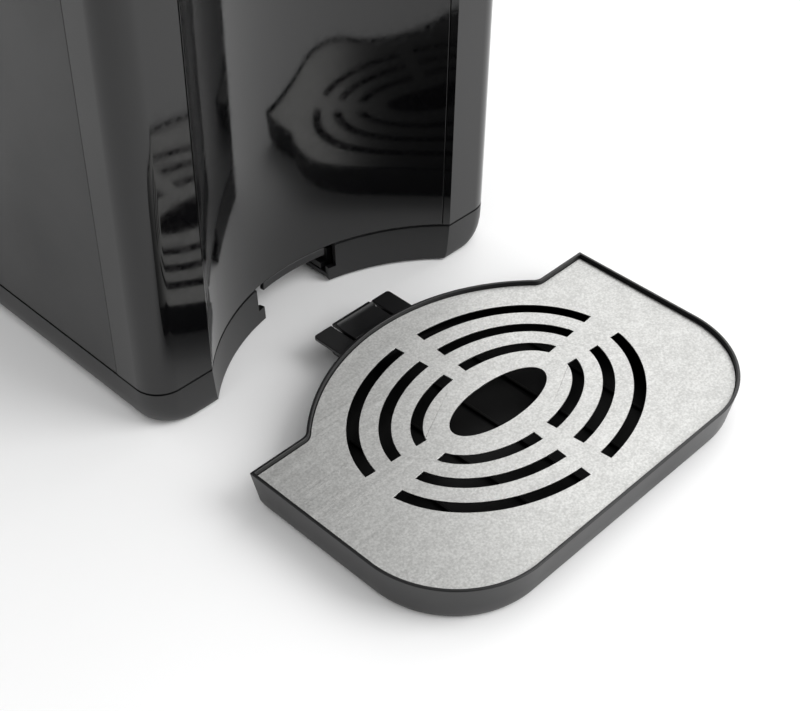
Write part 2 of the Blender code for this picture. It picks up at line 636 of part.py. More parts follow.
def controls():
    """Sprung push buttons, the amount dial with its stem, the board and the dial's encoder."""
    for name, x in BUTTON_PLACES.items():
        turned(name,
               [(0.0, 0.0022), (BUTTON_RADIUS - 0.0008, 0.0022), (BUTTON_RADIUS, 0.0014),
                (BUTTON_RADIUS, -0.0037), (BUTTON_RADIUS + 0.0014, -0.0037),
                (BUTTON_RADIUS + 0.0014, -0.0050), (0.0, -0.0050)],
               (x, BUTTON_Y, HEAD_TOP), finish="satin_black", steps=20, closed=False)
    dial = turned("amount_dial",
                  [(0.0, KNOB_PROUD), (DIAL_RADIUS - 0.0028, KNOB_PROUD),
                   (DIAL_RADIUS - 0.0012, KNOB_PROUD - 0.0014), (DIAL_RADIUS, 0.0006), (STEM_RADIUS, 0.0006),
                   (STEM_RADIUS, -0.0062), (0.0, -0.0062)],
                  (0.0, DIAL_Y, HEAD_TOP), finish="brushed_steel", steps=28, closed=False)
    mark_end = DIAL_Y - DIAL_RADIUS
    mark_half, mark_deep = 0.0008, 0.0006
    cut(dial, box("dial_mark", (-mark_half, mark_end - 0.003, HEIGHT - mark_deep),
                  (mark_half, mark_end + 0.008, HEIGHT + 0.002)))
    top, half = HEAD_TOP - BOARD_DROP, 0.006
    board = box("control_board", (-0.052, BUTTON_Y - 0.016, top - BOARD_SHEET), (0.052, DIAL_Y + 0.014, top),
                "circuit_board")
    join(board, box("dial_encoder", (-half, DIAL_Y - half, top - 0.0004), (half, DIAL_Y + half, top + 0.0012)))


# ---------------------------------------------------------------- water tank and its seat
INLET_X, INLET_Z, INLET_BORE = -0.060, 0.0245, 0.0052
PORT_RADIUS = 0.0125
PORT_LOW_Z = 0.0208
PORT_Z = 0.0262
SUCTION_X = -0.022
CRADLE_TOP = 0.0028


def tank_seat():
    """The cradle behind the column, the port cup under it and the seal that grips the tank's neck."""
    plan = rear_outline(0.0, COLUMN_Y + GAP)
    cradle = slab("tank_cradle", [plan], PANEL_Z, TANK_FLOOR_Z - GAP, "satin_black")
    ceiling = TANK_FLOOR_Z - CRADLE_TOP
    cut(cradle, slab("cradle_hollow", [rear_outline(BASE_WALL, COLUMN_Y - 0.01)], 0.0, ceiling),
        rod("cradle_mouth", NECK_RADIUS + 0.0013, (0.0, TANK_MID_Y, 0.02), (0.0, TANK_MID_Y, 0.05)),
        rod("cord_way", INLET_BORE, (INLET_X, BACK_Y - 0.02, INLET_Z), (INLET_X, BACK_Y + 0.02, INLET_Z),
            sides=16))
    top, floor, inner = ceiling - GAP, PORT_LOW_Z + 0.0020, PORT_RADIUS - 0.0022
    port = turned("tank_port",
                  [(PORT_RADIUS, top), (PORT_RADIUS, PORT_LOW_Z), (0.0, PORT_LOW_Z), (0.0, floor),
                   (inner, floor), (inner, top)], (0.0, TANK_MID_Y, 0.0), finish="white_nylon")
    outlet_end = TANK_MID_Y - 0.02
    cut(port, rod("port_outlet", 0.0018, (0.0, outlet_end, PORT_Z), (0.0, TANK_MID_Y, PORT_Z), sides=12))
    seal_outer, seal_inner, seal_low, seal_high = inner - 0.0004, NECK_RADIUS + GAP, 0.0270, 0.0300
    turned("tank_seal", [(seal_outer, seal_high), (seal_outer, seal_low), (seal_inner, seal_low),
                         (seal_inner, seal_high)], (0.0, TANK_MID_Y, 0.0), finish="silicone")
    plug, flange = INLET_BORE - GAP, INLET_BORE + 0.0011
    turned("mains_inlet",
           [(plug, BASE_WALL), (plug, -GAP), (flange, -GAP), (flange, -0.0030), (0.0030, -0.0030),
            (0.0030, BASE_WALL)], (INLET_X, BACK_Y - BASE_WALL, INLET_Z), "Y", "rubber", steps=20)


def water_tank():
    """Open clear vessel with an outlet neck below and two hinge lugs for its lid."""
    rim = rear_outline(TANK_INSET, TANK_FRONT_Y)
    tank = slab("water_tank", [rim], TANK_FLOOR_Z, TANK_TOP, "smoke_clear")
    neck_low, neck_high = PORT_LOW_Z + 0.0040, TANK_FLOOR_Z + 0.001
    join(tank, rod("tank_neck", NECK_RADIUS, (0.0, TANK_MID_Y, neck_low), (0.0, TANK_MID_Y, neck_high)))
    floor = TANK_FLOOR_Z + TANK_FLOOR
    inside = rear_outline(TANK_INSET + TANK_WALL, TANK_FRONT_Y + TANK_WALL)
    cut(tank, slab("tank_hollow", [inside], floor, TANK_TOP + 0.01),
        rod("neck_bore", NECK_BORE, (0.0, TANK_MID_Y, 0.015), (0.0, TANK_MID_Y, floor + 0.005)))
    lug_in, lug_out = 0.056, 0.060
    for side in (-1, 1):
        ends = sorted((side * lug_in, side * lug_out))
        lug = box("tank_lug", (ends[0], HINGE_Y - 0.003, TANK_TOP - 0.010),
                  (ends[1], BACK_Y - TANK_INSET - 0.0005, LID_TOP - 0.0002))
        join(tank, lug)
    far = HALF + 0.01
    cut(tank, rod("lug_bore", PIN_RADIUS + GAP, (-far, HINGE_Y, HINGE_Z), (far, HINGE_Y, HINGE_Z), sides=16))
    plan = rear_outline(TANK_INSET + GAP, TANK_FRONT_Y, 0.0008)
    lid = slab("tank_lid", [plan], LID_Z, LID_TOP, "satin_black")
    cut(lid, rod("lid_bore", PIN_RADIUS + GAP, (-far, HINGE_Y, HINGE_Z), (far, HINGE_Y, HINGE_Z), sides=16))
    for side in (-1, 1):
        ends = sorted((side * (lug_in - 0.0005), side * (lug_out + 0.0005)))
        cut(lid, box("lid_notch", (ends[0], HINGE_Y - 0.0078, LID_Z - 0.01),
                     (ends[1], BACK_Y + 0.01, LID_TOP + 0.01)))
    end = lug_out + 0.006
    pin = rod("lid_hinge_pin", PIN_RADIUS, (-end, HINGE_Y, HINGE_Z), (end, HINGE_Y, HINGE_Z), "steel",
              sides=12)
    seat = floor + GAP
    valve = turned("tank_valve",
                   [(0.0, 0.0020), (0.0066, 0.0020), (0.0070, 0.0), (0.0016, 0.0),
                    (0.0016, PORT_Z - 0.0002 - seat), (0.0, PORT_Z - 0.0002 - seat)],
                   (0.0, TANK_MID_Y, seat), finish="white_nylon", steps=20, closed=False)
    spring = coil("tank_valve_spring", 0.0040, WIRE, 4, (0.0, TANK_MID_Y, seat + 0.0029), 0.0088, "Z", "steel")
    strainer = turned("tank_strainer",
                      [(0.0, 0.0150), (0.0095, 0.0150), (0.0110, 0.0130), (0.0110, 0.0), (0.0096, 0.0),
                       (0.0096, 0.0126), (0.0, 0.0126)],
                      (0.0, TANK_MID_Y, seat), finish="white_nylon", closed=False)
    for turn in range(3):
        slot = box("strainer_slot", (-0.03, -0.0012, 0.0030), (0.03, 0.0012, 0.0100))
        turned_round = Matrix.Rotation(pi * turn / 3, 4, "Z")
        slot.matrix_world = Matrix.Translation((0.0, TANK_MID_Y, seat)) @ turned_round
        cut(strainer, slot)
    on_joint("tank_valve_axis", (0.0, TANK_MID_Y, seat), valve)
    on_joint("tank_lift_axis", (0.0, TANK_MID_Y, TANK_FLOOR_Z), tank, strainer, spring, pin)
    on_joint("tank_lid_axis", (0.0, HINGE_Y, HINGE_Z), lid)


# ---------------------------------------------------------------- water path
PUMP_Y = FRAME_Y - 0.015
PUMP_Z = 0.046
PUMP_BORE = 0.0053
METER_X, METER_Y = -0.045, FRAME_Y - 0.016
METER_Z = FRAME_Z + FRAME_SHEET + GAP
METER_RADIUS = 0.011
METER_HEIGHT = 0.014
METER_PORT_Z = 0.008
HOT_WAY_X, HOT_WAY_Z = 0.050, 0.052
HEATER_Y = FRAME_Y + 0.032
HEATER_Z, HEATER_TOP = 0.072, HEAD_Z - 0.033
HEATER_RADIUS = 0.022
CLAMP_INSET = 0.014
NUB = 0.008
NUB_RADIUS = 0.004
FINE_HOSE_RADIUS = 0.0024


def pump():
    floor, outer, start, end, mouth = METER_Z, 0.0080, -0.028, 0.034, 0.006
    turned("pump_body",
           [(outer, end), (outer, start), (PUMP_BORE, start), (PUMP_BORE, end - mouth), (0.0018, end - mouth),
            (0.0018, end)], (0.0, PUMP_Y, PUMP_Z), "X", "white_nylon", steps=20)
    half, length = 0.013, 0.014
    block = box("pump_coil", (-length, PUMP_Y - half, PUMP_Z - half), (length, PUMP_Y + half, PUMP_Z + half),
                "component")
    cut(block, rod("coil_bore", outer + GAP, (-0.02, PUMP_Y, PUMP_Z), (0.02, PUMP_Y, PUMP_Z)))
    back, front = -0.012, 0.008
    piston = rod("pump_piston", PUMP_BORE - GAP, (back, PUMP_Y, PUMP_Z), (front, PUMP_Y, PUMP_Z), "steel",
                 sides=16)
    spring_start, spring_length = front + GAP + WIRE, end - mouth - front - 0.0014
    coil("pump_spring", 0.0038, WIRE, 6, (spring_start, PUMP_Y, PUMP_Z), spring_length, "X", "steel")
    on_joint("pump_piston_axis", ((back + front) / 2, PUMP_Y, PUMP_Z), piston)
    legs, pad = (-0.022, 0.024), 0.004
    mount = box("pump_mount", (legs[0] - pad, PUMP_Y - 0.006, floor),
                (legs[1] + pad, PUMP_Y + 0.006, floor + 0.003), "rubber")
    for x in legs:
        join(mount, box("mount_leg", (x - pad, PUMP_Y - 0.005, floor + 0.002),
                        (x + pad, PUMP_Y + 0.005, PUMP_Z - outer - GAP)))


def flow_meter():
    wall_inner, floor, hole = METER_RADIUS - 0.0018, 0.0020, 0.0018
    body = turned("flow_meter_body",
                  [(METER_RADIUS, METER_HEIGHT), (METER_RADIUS, 0.0), (0.0, 0.0), (0.0, floor),
                   (wall_inner, floor), (wall_inner, METER_HEIGHT)],
                  (METER_X, METER_Y, METER_Z), finish="white_nylon", steps=20)
    port = METER_Z + METER_PORT_Z
    cut(body, rod("meter_inlet", hole, (METER_X, METER_Y, port), (METER_X, METER_Y + 0.02, port), sides=10))
    turned("flow_meter_cap", [(METER_RADIUS, floor), (METER_RADIUS, 0.0), (hole, 0.0), (hole, floor)],
           (METER_X, METER_Y, METER_Z + METER_HEIGHT + GAP), finish="white_nylon", steps=20)
    low, high, reach = METER_Z + floor + 0.001, METER_Z + METER_HEIGHT - floor, wall_inner - 0.0012
    wheel = rod("flow_impeller", 0.0030, (METER_X, METER_Y, low), (METER_X, METER_Y, high), "component",
                sides=12)
    for turn in range(2):
        blade = box("impeller_blade", (-reach, -0.0006, -0.0025), (reach, 0.0006, 0.0025))
        blade.matrix_world = (Matrix.Translation((METER_X, METER_Y, (low + high) / 2))
                              @ Matrix.Rotation(pi * (0.15 + turn / 2), 4, "Z"))
        join(wheel, blade)
    on_joint("flow_impeller_axis", (METER_X, METER_Y, METER_Z), wheel)


def heater():
    """Cast flow heater on two clamps, with its thermostat and thermal fuse."""
    turned("flow_heater",
           [(0.0, HEATER_TOP + NUB), (NUB_RADIUS, HEATER_TOP + NUB), (NUB_RADIUS, HEATER_TOP),
            (HEATER_RADIUS, HEATER_TOP), (HEATER_RADIUS, HEATER_Z), (NUB_RADIUS, HEATER_Z),
            (NUB_RADIUS, HEATER_Z - NUB), (0.0, HEATER_Z - NUB)],
           (0.0, HEATER_Y, 0.0), finish="aluminium", closed=False)
    plate = FRAME_Y + FRAME_SHEET + GAP
    inner, half = HEATER_RADIUS + GAP, 0.004
    outer = inner + FRAME_SHEET
    heights = {"heater_clamp_lower": HEATER_Z + CLAMP_INSET, "heater_clamp_upper": HEATER_TOP - CLAMP_INSET}
    for name, z in heights.items():
        band = turned(name, [(outer, half), (outer, -half), (inner, -half), (inner, half)],
                      (0.0, HEATER_Y, z), finish="steel")
        join(band, box("clamp_leg", (-0.008, plate, z - 0.0035), (0.008, HEATER_Y - inner - GAP, z + 0.0035)))
    middle = (HEATER_Z + HEATER_TOP) / 2
    rod("thermostat", 0.0085, (0.0, plate, middle), (0.0, HEATER_Y - inner, middle), "component")
    fuse = 0.0026
    x = inner + fuse
    rod("thermal_fuse", fuse, (-x, HEATER_Y, middle - 0.008), (-x, HEATER_Y, middle + 0.008), "white_nylon",
        sides=12)


def hoses():
    """Hoses from the tank's port to the meter, the pump and the heater, and up over to the spout."""
    port_y = TANK_MID_Y - PORT_RADIUS - GAP
    run = port_y - COLUMN_Y
    inlet_z = METER_Z + METER_PORT_Z
    tube("suction_hose", [
        (0.0, port_y, PORT_Z), (0.0, port_y - 0.23 * run, PORT_Z), (-0.005, port_y - 0.55 * run, PORT_Z),
        (SUCTION_X, COLUMN_Y + 0.28 * run, PORT_Z), (SUCTION_X, COLUMN_Y - 0.006, PORT_Z),
        (-0.034, COLUMN_Y - 0.022, inlet_z), (METER_X, FRAME_Y + 0.020, inlet_z),
        (METER_X, FRAME_Y + 0.006, inlet_z), (METER_X, METER_Y + METER_RADIUS + GAP, inlet_z)],
        HOSE_RADIUS, "silicone")
    cap_top = METER_Z + METER_HEIGHT + 0.0020 + GAP
    tube("pump_inlet_hose", [
        (METER_X, METER_Y, cap_top + GAP), (METER_X, METER_Y, cap_top + 0.0040),
        (METER_X + 0.003, METER_Y + 0.0004, PUMP_Z - 0.0018), (METER_X + 0.009, PUMP_Y, PUMP_Z),
        (-0.0283, PUMP_Y, PUMP_Z)], FINE_HOSE_RADIUS, "silicone")
    nub_z = HEATER_Z - NUB
    tube("pressure_hose", [
        (0.0343, PUMP_Y, PUMP_Z), (0.0385, PUMP_Y, PUMP_Z), (0.043, PUMP_Y + 0.0015, PUMP_Z + 0.0010),
        (HOT_WAY_X - 0.001, PUMP_Y + 0.007, PUMP_Z + 0.0045), (HOT_WAY_X, FRAME_Y + 0.006, HOT_WAY_Z),
        (0.040, FRAME_Y + 0.018, HOT_WAY_Z + 0.001), (0.014, HEATER_Y - 0.004, nub_z - 0.0105),
        (0.005, HEATER_Y - 0.0005, nub_z - 0.0092), (0.0, HEATER_Y, nub_z - 0.0045),
        (0.0, HEATER_Y, nub_z - GAP)],
        FINE_HOSE_RADIUS, "silicone")
    tube("outlet_pipe", [
        (0.0, HEATER_Y, HEATER_TOP + NUB + GAP), (0.0, HEATER_Y, HEAD_Z - 0.012),
        (0.0, HEATER_Y - 0.008, HEAD_Z + 0.010), (0.0, HEATER_Y - 0.030, HEAD_Z + 0.022),
        (0.0, FACE_Y + 0.020, HEAD_Z + 0.024), (0.0, SPOUT_Y + 0.016, HEAD_Z + 0.023),
        (0.0, SPOUT_Y + 0.004, HEAD_Z + 0.019), (0.0, SPOUT_Y, HEAD_Z + 0.012),
        (0.0, SPOUT_Y, HEAD_Z + 0.0056 + GAP)], 0.0026, "silicone")


def electronics():
    """The power board on the frame's upright plate, with its relay, capacitor and transformer."""
    front = FRAME_Y - GAP
    low, high = 0.080, HEAD_Z - 0.028
    board = box("power_board", (-0.050, front - BOARD_SHEET, low), (0.050, front, high), "circuit_board")
    face = front - BOARD_SHEET + 0.0004
    join(board, box("relay", (-0.040, face - 0.015, high - 0.040), (-0.022, face, high - 0.026)),
         rod("capacitor", 0.0080, (0.022, face - 0.020, high - 0.030), (0.022, face, high - 0.030), sides=16),
         box("transformer", (-0.015, face - 0.024, low + 0.012), (0.017, face, low + 0.036)))


# ---------------------------------------------------------------- drip tray
def drip_tray():
    """Shallow drafted bowl with a rim, a ledge for the plate, and the tab on its curved back."""
    piece = loft("drip_tray", [
        raised(tray_outline(0.0058), 0.0), raised(tray_outline(0.0043), 0.0013),
        raised(tray_outline(TRAY_DRAFT), 0.0035), raised(tray_outline(TRAY_MARGIN), TRAY_RIM_Z)], "satin_black")
    ledge_z = PLATE_TOP_Z - PLATE_THICKNESS - GAP
    crest = SHOULDER_Y + TRAY_ARC_RISE
    flange_z = TAB_TOP_Z - TAB_THICKNESS
    body = rounded_box(TAB_BODY_HALF, crest - 0.014, crest + TAB_BODY_REACH, 0.0045)
    join(piece, box("tab_flange", (-TAB_HALF, crest - 0.008, flange_z), (TAB_HALF, TAB_BACK_Y, TAB_TOP_Z)),
         slab("tab_body", [body], TAB_BODY_Z, flange_z + 0.0004))
    cut(piece, slab("plate_seat", [tray_outline(TRAY_RIM)], ledge_z, TRAY_RIM_Z + 0.005),
        slab("bowl", [tray_outline(TRAY_RIM + TRAY_LEDGE)], TRAY_FLOOR, TRAY_RIM_Z + 0.004))
    root = TAB_BACK_Y - FINGER_LENGTH - GAP
    clear = FINGER_HALF + FINGER_SLOT
    bend_room = 0.0018
    cut(piece, box("finger_way", (-clear, root, flange_z - bend_room),
                   (clear, TAB_BACK_Y + 0.01, TAB_TOP_Z + 0.01)))
    latch = box("tray_latch", (-FINGER_HALF, root + GAP, flange_z),
                (FINGER_HALF, TAB_BACK_Y + FINGER_PROUD, TAB_TOP_Z), "satin_black")
    ridge_back = TAB_BACK_Y - 0.0012
    ridge = [(ridge_back, TAB_TOP_Z - 0.0004), (ridge_back - 0.0005, TAB_TOP_Z + FINGER_RIDGE),
             (ridge_back - 0.0022, TAB_TOP_Z - 0.0004)]
    turn = Matrix(((0, 0, 1, 0), (1, 0, 0, 0), (0, 1, 0, 0), (0, 0, 0, 1)))
    join(latch, slab("finger_ridge", [ridge], 0.0008 - FINGER_HALF, FINGER_HALF - 0.0008, None, turn))
    return piece, latch, root


def ellipse_slot(inner, outer, along, across):
    """One quarter slot between two ellipses, in the quadrant that along and across point to."""
    def curve(axes):
        a, b = axes
        start = asin(min((SPOKE_Y_HALF + SPOKE_FLARE * a) / b, 0.9))
        end = pi / 2 - asin(min((SPOKE_X_HALF + SPOKE_FLARE * b) / a, 0.9))
        turns = [start + (end - start) * i / 7 for i in range(8)]
        return [(a * cos(t), b * sin(t)) for t in turns]
    points = curve(inner) + list(reversed(curve(outer)))
    return [(along * x, PATTERN_Y + across * y) for x, y in points]


def drip_plate():
    """Steel plate with an oval hole and rings of slots, each ring cut into four by the spokes."""
    a, b = PATTERN_HOLE
    holes = [[(a * cos(2 * pi * i / 28), PATTERN_Y + b * sin(2 * pi * i / 28)) for i in range(28)]]
    for ring in range(PATTERN_RINGS):
        inner = (PATTERN_FIRST[0] + ring * PATTERN_PITCH, PATTERN_FIRST[1] + ring * PATTERN_PITCH)
        outer = (inner[0] + SLOT_WIDTH, inner[1] + SLOT_WIDTH)
        holes += [ellipse_slot(inner, outer, along, across) for along in (-1, 1) for across in (-1, 1)]
    rim = tray_outline(TRAY_RIM + GAP)
    return slab("drip_plate", [rim, *holes], PLATE_TOP_Z - PLATE_THICKNESS, PLATE_TOP_Z, "brushed_steel")


base_housing()
feet_and_screws()
tray_guides()
tray_catch()
inner_frame()
front_panels()
side_and_back_panels()
head()
controls()
tank_seat()
water_tank()
pump()
flow_meter()
heater()
hoses()
electronics()
TRAY, LATCH, LATCH_ROOT = drip_tray()
PLATE = drip_plate()
on_joint("tray_slide_axis", (0.0, SHOULDER_Y, 0.0), TRAY)
on_joint("tray_latch_axis", (0.0, LATCH_ROOT, TAB_TOP_Z - TAB_THICKNESS / 2), LATCH)
on_joint("plate_lift_axis", (0.0, PATTERN_Y, PLATE_TOP_Z), PLATE)
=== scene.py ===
import math

import bpy
import numpy as np
from mathutils import Matrix, Vector
from mathutils.geometry import delaunay_2d_cdt


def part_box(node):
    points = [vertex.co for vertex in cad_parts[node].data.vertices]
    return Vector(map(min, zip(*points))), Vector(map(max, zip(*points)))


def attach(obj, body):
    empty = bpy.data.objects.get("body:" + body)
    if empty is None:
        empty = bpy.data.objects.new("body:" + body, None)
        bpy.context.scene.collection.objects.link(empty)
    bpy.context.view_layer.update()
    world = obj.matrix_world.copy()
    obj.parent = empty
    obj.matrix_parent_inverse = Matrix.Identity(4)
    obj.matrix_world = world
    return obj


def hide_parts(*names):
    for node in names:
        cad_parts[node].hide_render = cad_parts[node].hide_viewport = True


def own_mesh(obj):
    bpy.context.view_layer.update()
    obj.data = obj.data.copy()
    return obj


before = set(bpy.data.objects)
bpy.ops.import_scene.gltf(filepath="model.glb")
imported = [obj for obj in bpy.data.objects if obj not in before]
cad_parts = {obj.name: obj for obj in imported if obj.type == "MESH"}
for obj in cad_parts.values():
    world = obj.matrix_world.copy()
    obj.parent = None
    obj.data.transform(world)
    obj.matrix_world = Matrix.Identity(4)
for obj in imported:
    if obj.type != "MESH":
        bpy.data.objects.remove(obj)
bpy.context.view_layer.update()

# ---------------------------------------------------------------- camera
# A short telephoto lens above the left front corner of the pulled-out tray. It looks down across the
# tray at the foot of the machine, and the head stays above the frame.
CAMERA_PLACE = Vector((-0.3070, -0.3522, 0.3744))
CAMERA_TURN = math.radians(-46.28)
CAMERA_DOWN = math.radians(40.94)
CAMERA_ROLL = math.radians(0.95)
CAMERA_LENS = 66.2

backward = Vector((math.sin(CAMERA_TURN) * math.cos(CAMERA_DOWN),
                   -math.cos(CAMERA_TURN) * math.cos(CAMERA_DOWN), math.sin(CAMERA_DOWN)))
level = Vector((math.cos(CAMERA_TURN), math.sin(CAMERA_TURN), 0.0))
across = level * math.cos(CAMERA_ROLL) + backward.cross(level) * math.sin(CAMERA_ROLL)
camera = bpy.data.objects.new("camera", bpy.data.cameras.new("camera"))
camera.data.lens = CAMERA_LENS
camera.data.clip_start = 0.01
camera.matrix_world = (Matrix.Translation(CAMERA_PLACE)
                       @ Matrix((across, backward.cross(across), backward)).transposed().to_4x4())
bpy.context.scene.collection.objects.link(camera)
bpy.context.scene.camera = camera
bpy.context.scene.view_settings.view_transform = "Standard"

# ---------------------------------------------------------------- studio
# A matt white table under three soft boxes: a broad one overhead, a key on the right and a window in front
# on the right. Shadows fall to the left and towards the back.
TABLE_RADIUS = 4.0


def tone(code):
    """The linear RGBA of an sRGB hex colour: a straight line below 0.04045 and a 2.4 power above it."""
    value = np.array([int(code[i:i + 2], 16) for i in (1, 3, 5)]) / 255
    linear = np.where(value <= 0.04045, value / 12.92, ((value + 0.055) / 1.055) ** 2.4)
    return (*linear.tolist(), 1.0)


def knot(tree, kind, values=(), links=(), **settings):
    """Adds a node with its settings, its sockets' plain values and its incoming links, as dicts."""
    node = tree.nodes.new(kind)
    for name, value in settings.items():
        setattr(node, name, value)
    for socket, value in dict(values).items():
        node.inputs[socket].default_value = value
    for socket, source in dict(links).items():
        tree.links.new(source, node.inputs[socket])
    return node


def new_finish(name, colour, roughness, **sockets):
    """A Principled material with plain values on its shader, its node tree and its Object coordinates."""
    finish = bpy.data.materials.new(name)
    finish.use_nodes = True
    tree = finish.node_tree
    shader = tree.nodes["Principled BSDF"]
    shader.inputs["Base Color"].default_value = tone(colour)
    shader.inputs["Roughness"].default_value = roughness
    for socket, value in sockets.items():
        shader.inputs[socket.replace("_", " ")].default_value = value
    return finish, tree, shader, knot(tree, "ShaderNodeTexCoord").outputs["Object"]


def bend(centre, radius, start, end, count):
    """Points on an arc: the centre plus the radius times the cosine and sine of evenly spaced angles."""
    angle = np.linspace(start, end, count)
    return np.column_stack([centre[0] + radius * np.cos(angle), centre[1] + radius * np.sin(angle)])


# White paper sweep: matt, with a faint clouding 150 mm across that keeps the floor from looking printed.
paper, tree, shader, place = new_finish("white_paper_sweep", "#ececec", 0.7)
clouds = knot(tree, "ShaderNodeTexNoise", {"Scale": 6.5, "Detail": 2.0}, {"Vector": place})
shade = knot(tree, "ShaderNodeMix", {"A": tone("#efefef"), "B": tone("#f4f4f4")},
             {"Factor": clouds.outputs["Fac"]}, data_type="RGBA")
tree.links.new(shade.outputs["Result"], shader.inputs["Base Color"])

rim = bend((0.0, 0.0), TABLE_RADIUS, 0.0, 2 * math.pi, 129)[:-1]
mesh = bpy.data.meshes.new("table")
mesh.from_pydata([(x, y, -0.0001) for x, y in rim.tolist()], [], [list(range(len(rim)))])
mesh.materials.append(paper)
table = bpy.data.objects.new("table", mesh)
bpy.context.scene.collection.objects.link(table)

# place, aim, width, height, watts
SOFT_BOXES = {
    "key_box": ((1.05, 0.25, 0.85), (0.0, -0.05, 0.05), 1.0, 1.0, 3.6),
    "top_box": ((0.10, 0.10, 1.45), (0.0, -0.05, 0.0), 1.8, 1.8, 5.0),
    "window_box": ((0.60, -0.95, 0.95), (0.0, -0.05, 0.05), 0.9, 0.9, 11.0),
}
for name, (stand, aim, width, height, watts) in SOFT_BOXES.items():
    light = bpy.data.lights.new(name, "AREA")
    light.shape, light.size, light.size_y, light.energy = "RECTANGLE", width, height, watts
    lamp = bpy.data.objects.new(name, light)
    lamp.matrix_world = (Matrix.Translation(stand)
                         @ (Vector(aim) - Vector(stand)).to_track_quat("-Z", "Y").to_matrix().to_4x4())
    bpy.context.scene.collection.objects.link(lamp)

# The room: a pale tent that lights the table, more from the front than from behind. In glossy surfaces
# it is dim towards the lens and bright on the far right.
world = bpy.data.worlds.new("room")
bpy.context.scene.world = world
world.use_nodes = True
tree = world.node_tree
tree.nodes.clear()
ray = knot(tree, "ShaderNodeTexCoord")
heading = knot(tree, "ShaderNodeSeparateXYZ", links={"Vector": ray.outputs["Generated"]})
lean = knot(tree, "ShaderNodeMath", links={0: heading.outputs["X"], 1: heading.outputs["Y"]}, operation="ADD")
gloss = knot(tree, "ShaderNodeMapRange", {"From Min": -0.6, "From Max": 1.0, "To Min": 0.03, "To Max": 0.75},
             {"Value": lean.outputs["Value"]})
path = knot(tree, "ShaderNodeLightPath")
side = knot(tree, "ShaderNodeVectorMath", {1: (0.04, -0.42, 0.0)}, {0: ray.outputs["Generated"]},
            operation="DOT_PRODUCT")
even = knot(tree, "ShaderNodeMath", {1: 0.90}, {0: side.outputs["Value"]}, operation="ADD")
gain = knot(tree, "ShaderNodeMix", links={"Factor": path.outputs["Is Diffuse Ray"],
                                          "A": gloss.outputs["Result"], "B": even.outputs["Value"]})
dim = knot(tree, "ShaderNodeBackground", {"Color": tone("#f4f4f4")}, {"Strength": gain.outputs["Result"]})
pale = knot(tree, "ShaderNodeBackground", {"Color": tone("#f2f2f2"), "Strength": 1.0})
seen = knot(tree, "ShaderNodeMixShader", links={0: path.outputs["Is Camera Ray"], 1: dim.outputs[0],
                                                 2: pale.outputs[0]})
knot(tree, "ShaderNodeOutputWorld", links={"Surface": seen.outputs[0]})

# ---------------------------------------------------------------- base pan
# A shallow pan moulded in satin black ABS that carries the machine. Its front is hollowed to the curve
# of the tray, and a stepped opening in the middle lets the tray's tab in.
BASE_WALL, BASE_FLOOR, BASE_EDGE = 0.0025, 0.0025, 0.00045
BASE_CORNER, BASE_REAR_CORNER = 0.0110, 0.0160
RECESS_HALF, RECESS_DEPTH, RECESS_LEAN = 0.0638, 0.0264, 0.0010
SIDE_DRAFT, FRONT_DRAFT, GROOVE = 0.0032, 0.0006, 0.0006
OPENING_TOP_HALF, OPENING_LOW_HALF, OPENING_LEDGE_Z = 0.0211, 0.0176, 0.0067
BAY_DEPTH = 0.0460

base_low, base_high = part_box("base_housing")
half, face_y, back_y = base_high.x, base_low.y, base_high.y
recess_radius = (RECESS_HALF ** 2 + RECESS_DEPTH ** 2) / (2 * RECESS_DEPTH)
recess_centre = (0.0, face_y + RECESS_DEPTH - recess_radius)


def mirrored(path):
    """The path, then its mirror image in x = 0 run backwards, so that both halves match exactly."""
    return np.concatenate([path, path[::-1] * (-1, 1)])


def machine_plan(front=0.0, side=0.0, recess=0.0, opening=OPENING_LOW_HALF):
    """The base seen from above, anticlockwise from the opening's right edge to its left edge.

    Arcs for the recess and the corners, joined by straight runs, each face moved inwards by its draft.
    """
    radius, face = recess_radius + recess, face_y + front
    swing = math.asin((face - recess_centre[1]) / radius)
    corner, rear = BASE_CORNER + side, BASE_REAR_CORNER - max(front, side)
    x, y = half - side, back_y - front
    start = math.acos(OPENING_TOP_HALF / recess_radius)
    first = bend(recess_centre, radius, math.acos(opening / recess_radius), start, 2)
    return mirrored(np.concatenate([
        first[:1], bend(recess_centre, radius, start, swing, 48),
        bend((x - corner, face + corner), corner, -math.pi / 2, 0.0, 14),
        bend((x - rear, y - rear), rear, 0.0, math.pi / 2, 14)]))


def woven(grid, closed=True, caps=(), keep=None):
    """A mesh from a grid of points, one quad to a cell.

    It faces outwards when columns run anticlockwise and rows run up the outside. Closed joins the last
    column to the first, caps closes the first row (0), the last (1) or both, and keep drops cells.
    """
    rows, columns = grid.shape[:2]
    index = np.arange(rows * columns).reshape(rows, columns)
    ring = np.column_stack([index, index[:, :1]]) if closed else index
    cells = np.stack([ring[:-1, :-1], ring[:-1, 1:], ring[1:, 1:], ring[1:, :-1]], axis=-1)
    cells = cells.reshape(-1, 4) if keep is None else cells[keep]
    used, cells = np.unique(cells, return_inverse=True)
    ends = ([index[0, ::-1].tolist()] if 0 in caps else []) + ([index[-1].tolist()] if 1 in caps else [])
    mesh = bpy.data.meshes.new("woven")
    mesh.from_pydata(grid.reshape(-1, 3)[used].tolist(), [], cells.reshape(-1, 4).tolist() + ends)
    return mesh


def level_rings(*rings):
    """Stacks plan outlines, each given with its height, into a grid with one row to an outline."""
    return np.stack([np.column_stack([outline, np.full(len(outline), z)]) for outline, z in rings])


def prism(outline, low, high):
    """An outline carried straight up from low to high and closed at both ends."""
    return woven(level_rings((outline, low), (outline, high)), caps=(0, 1))


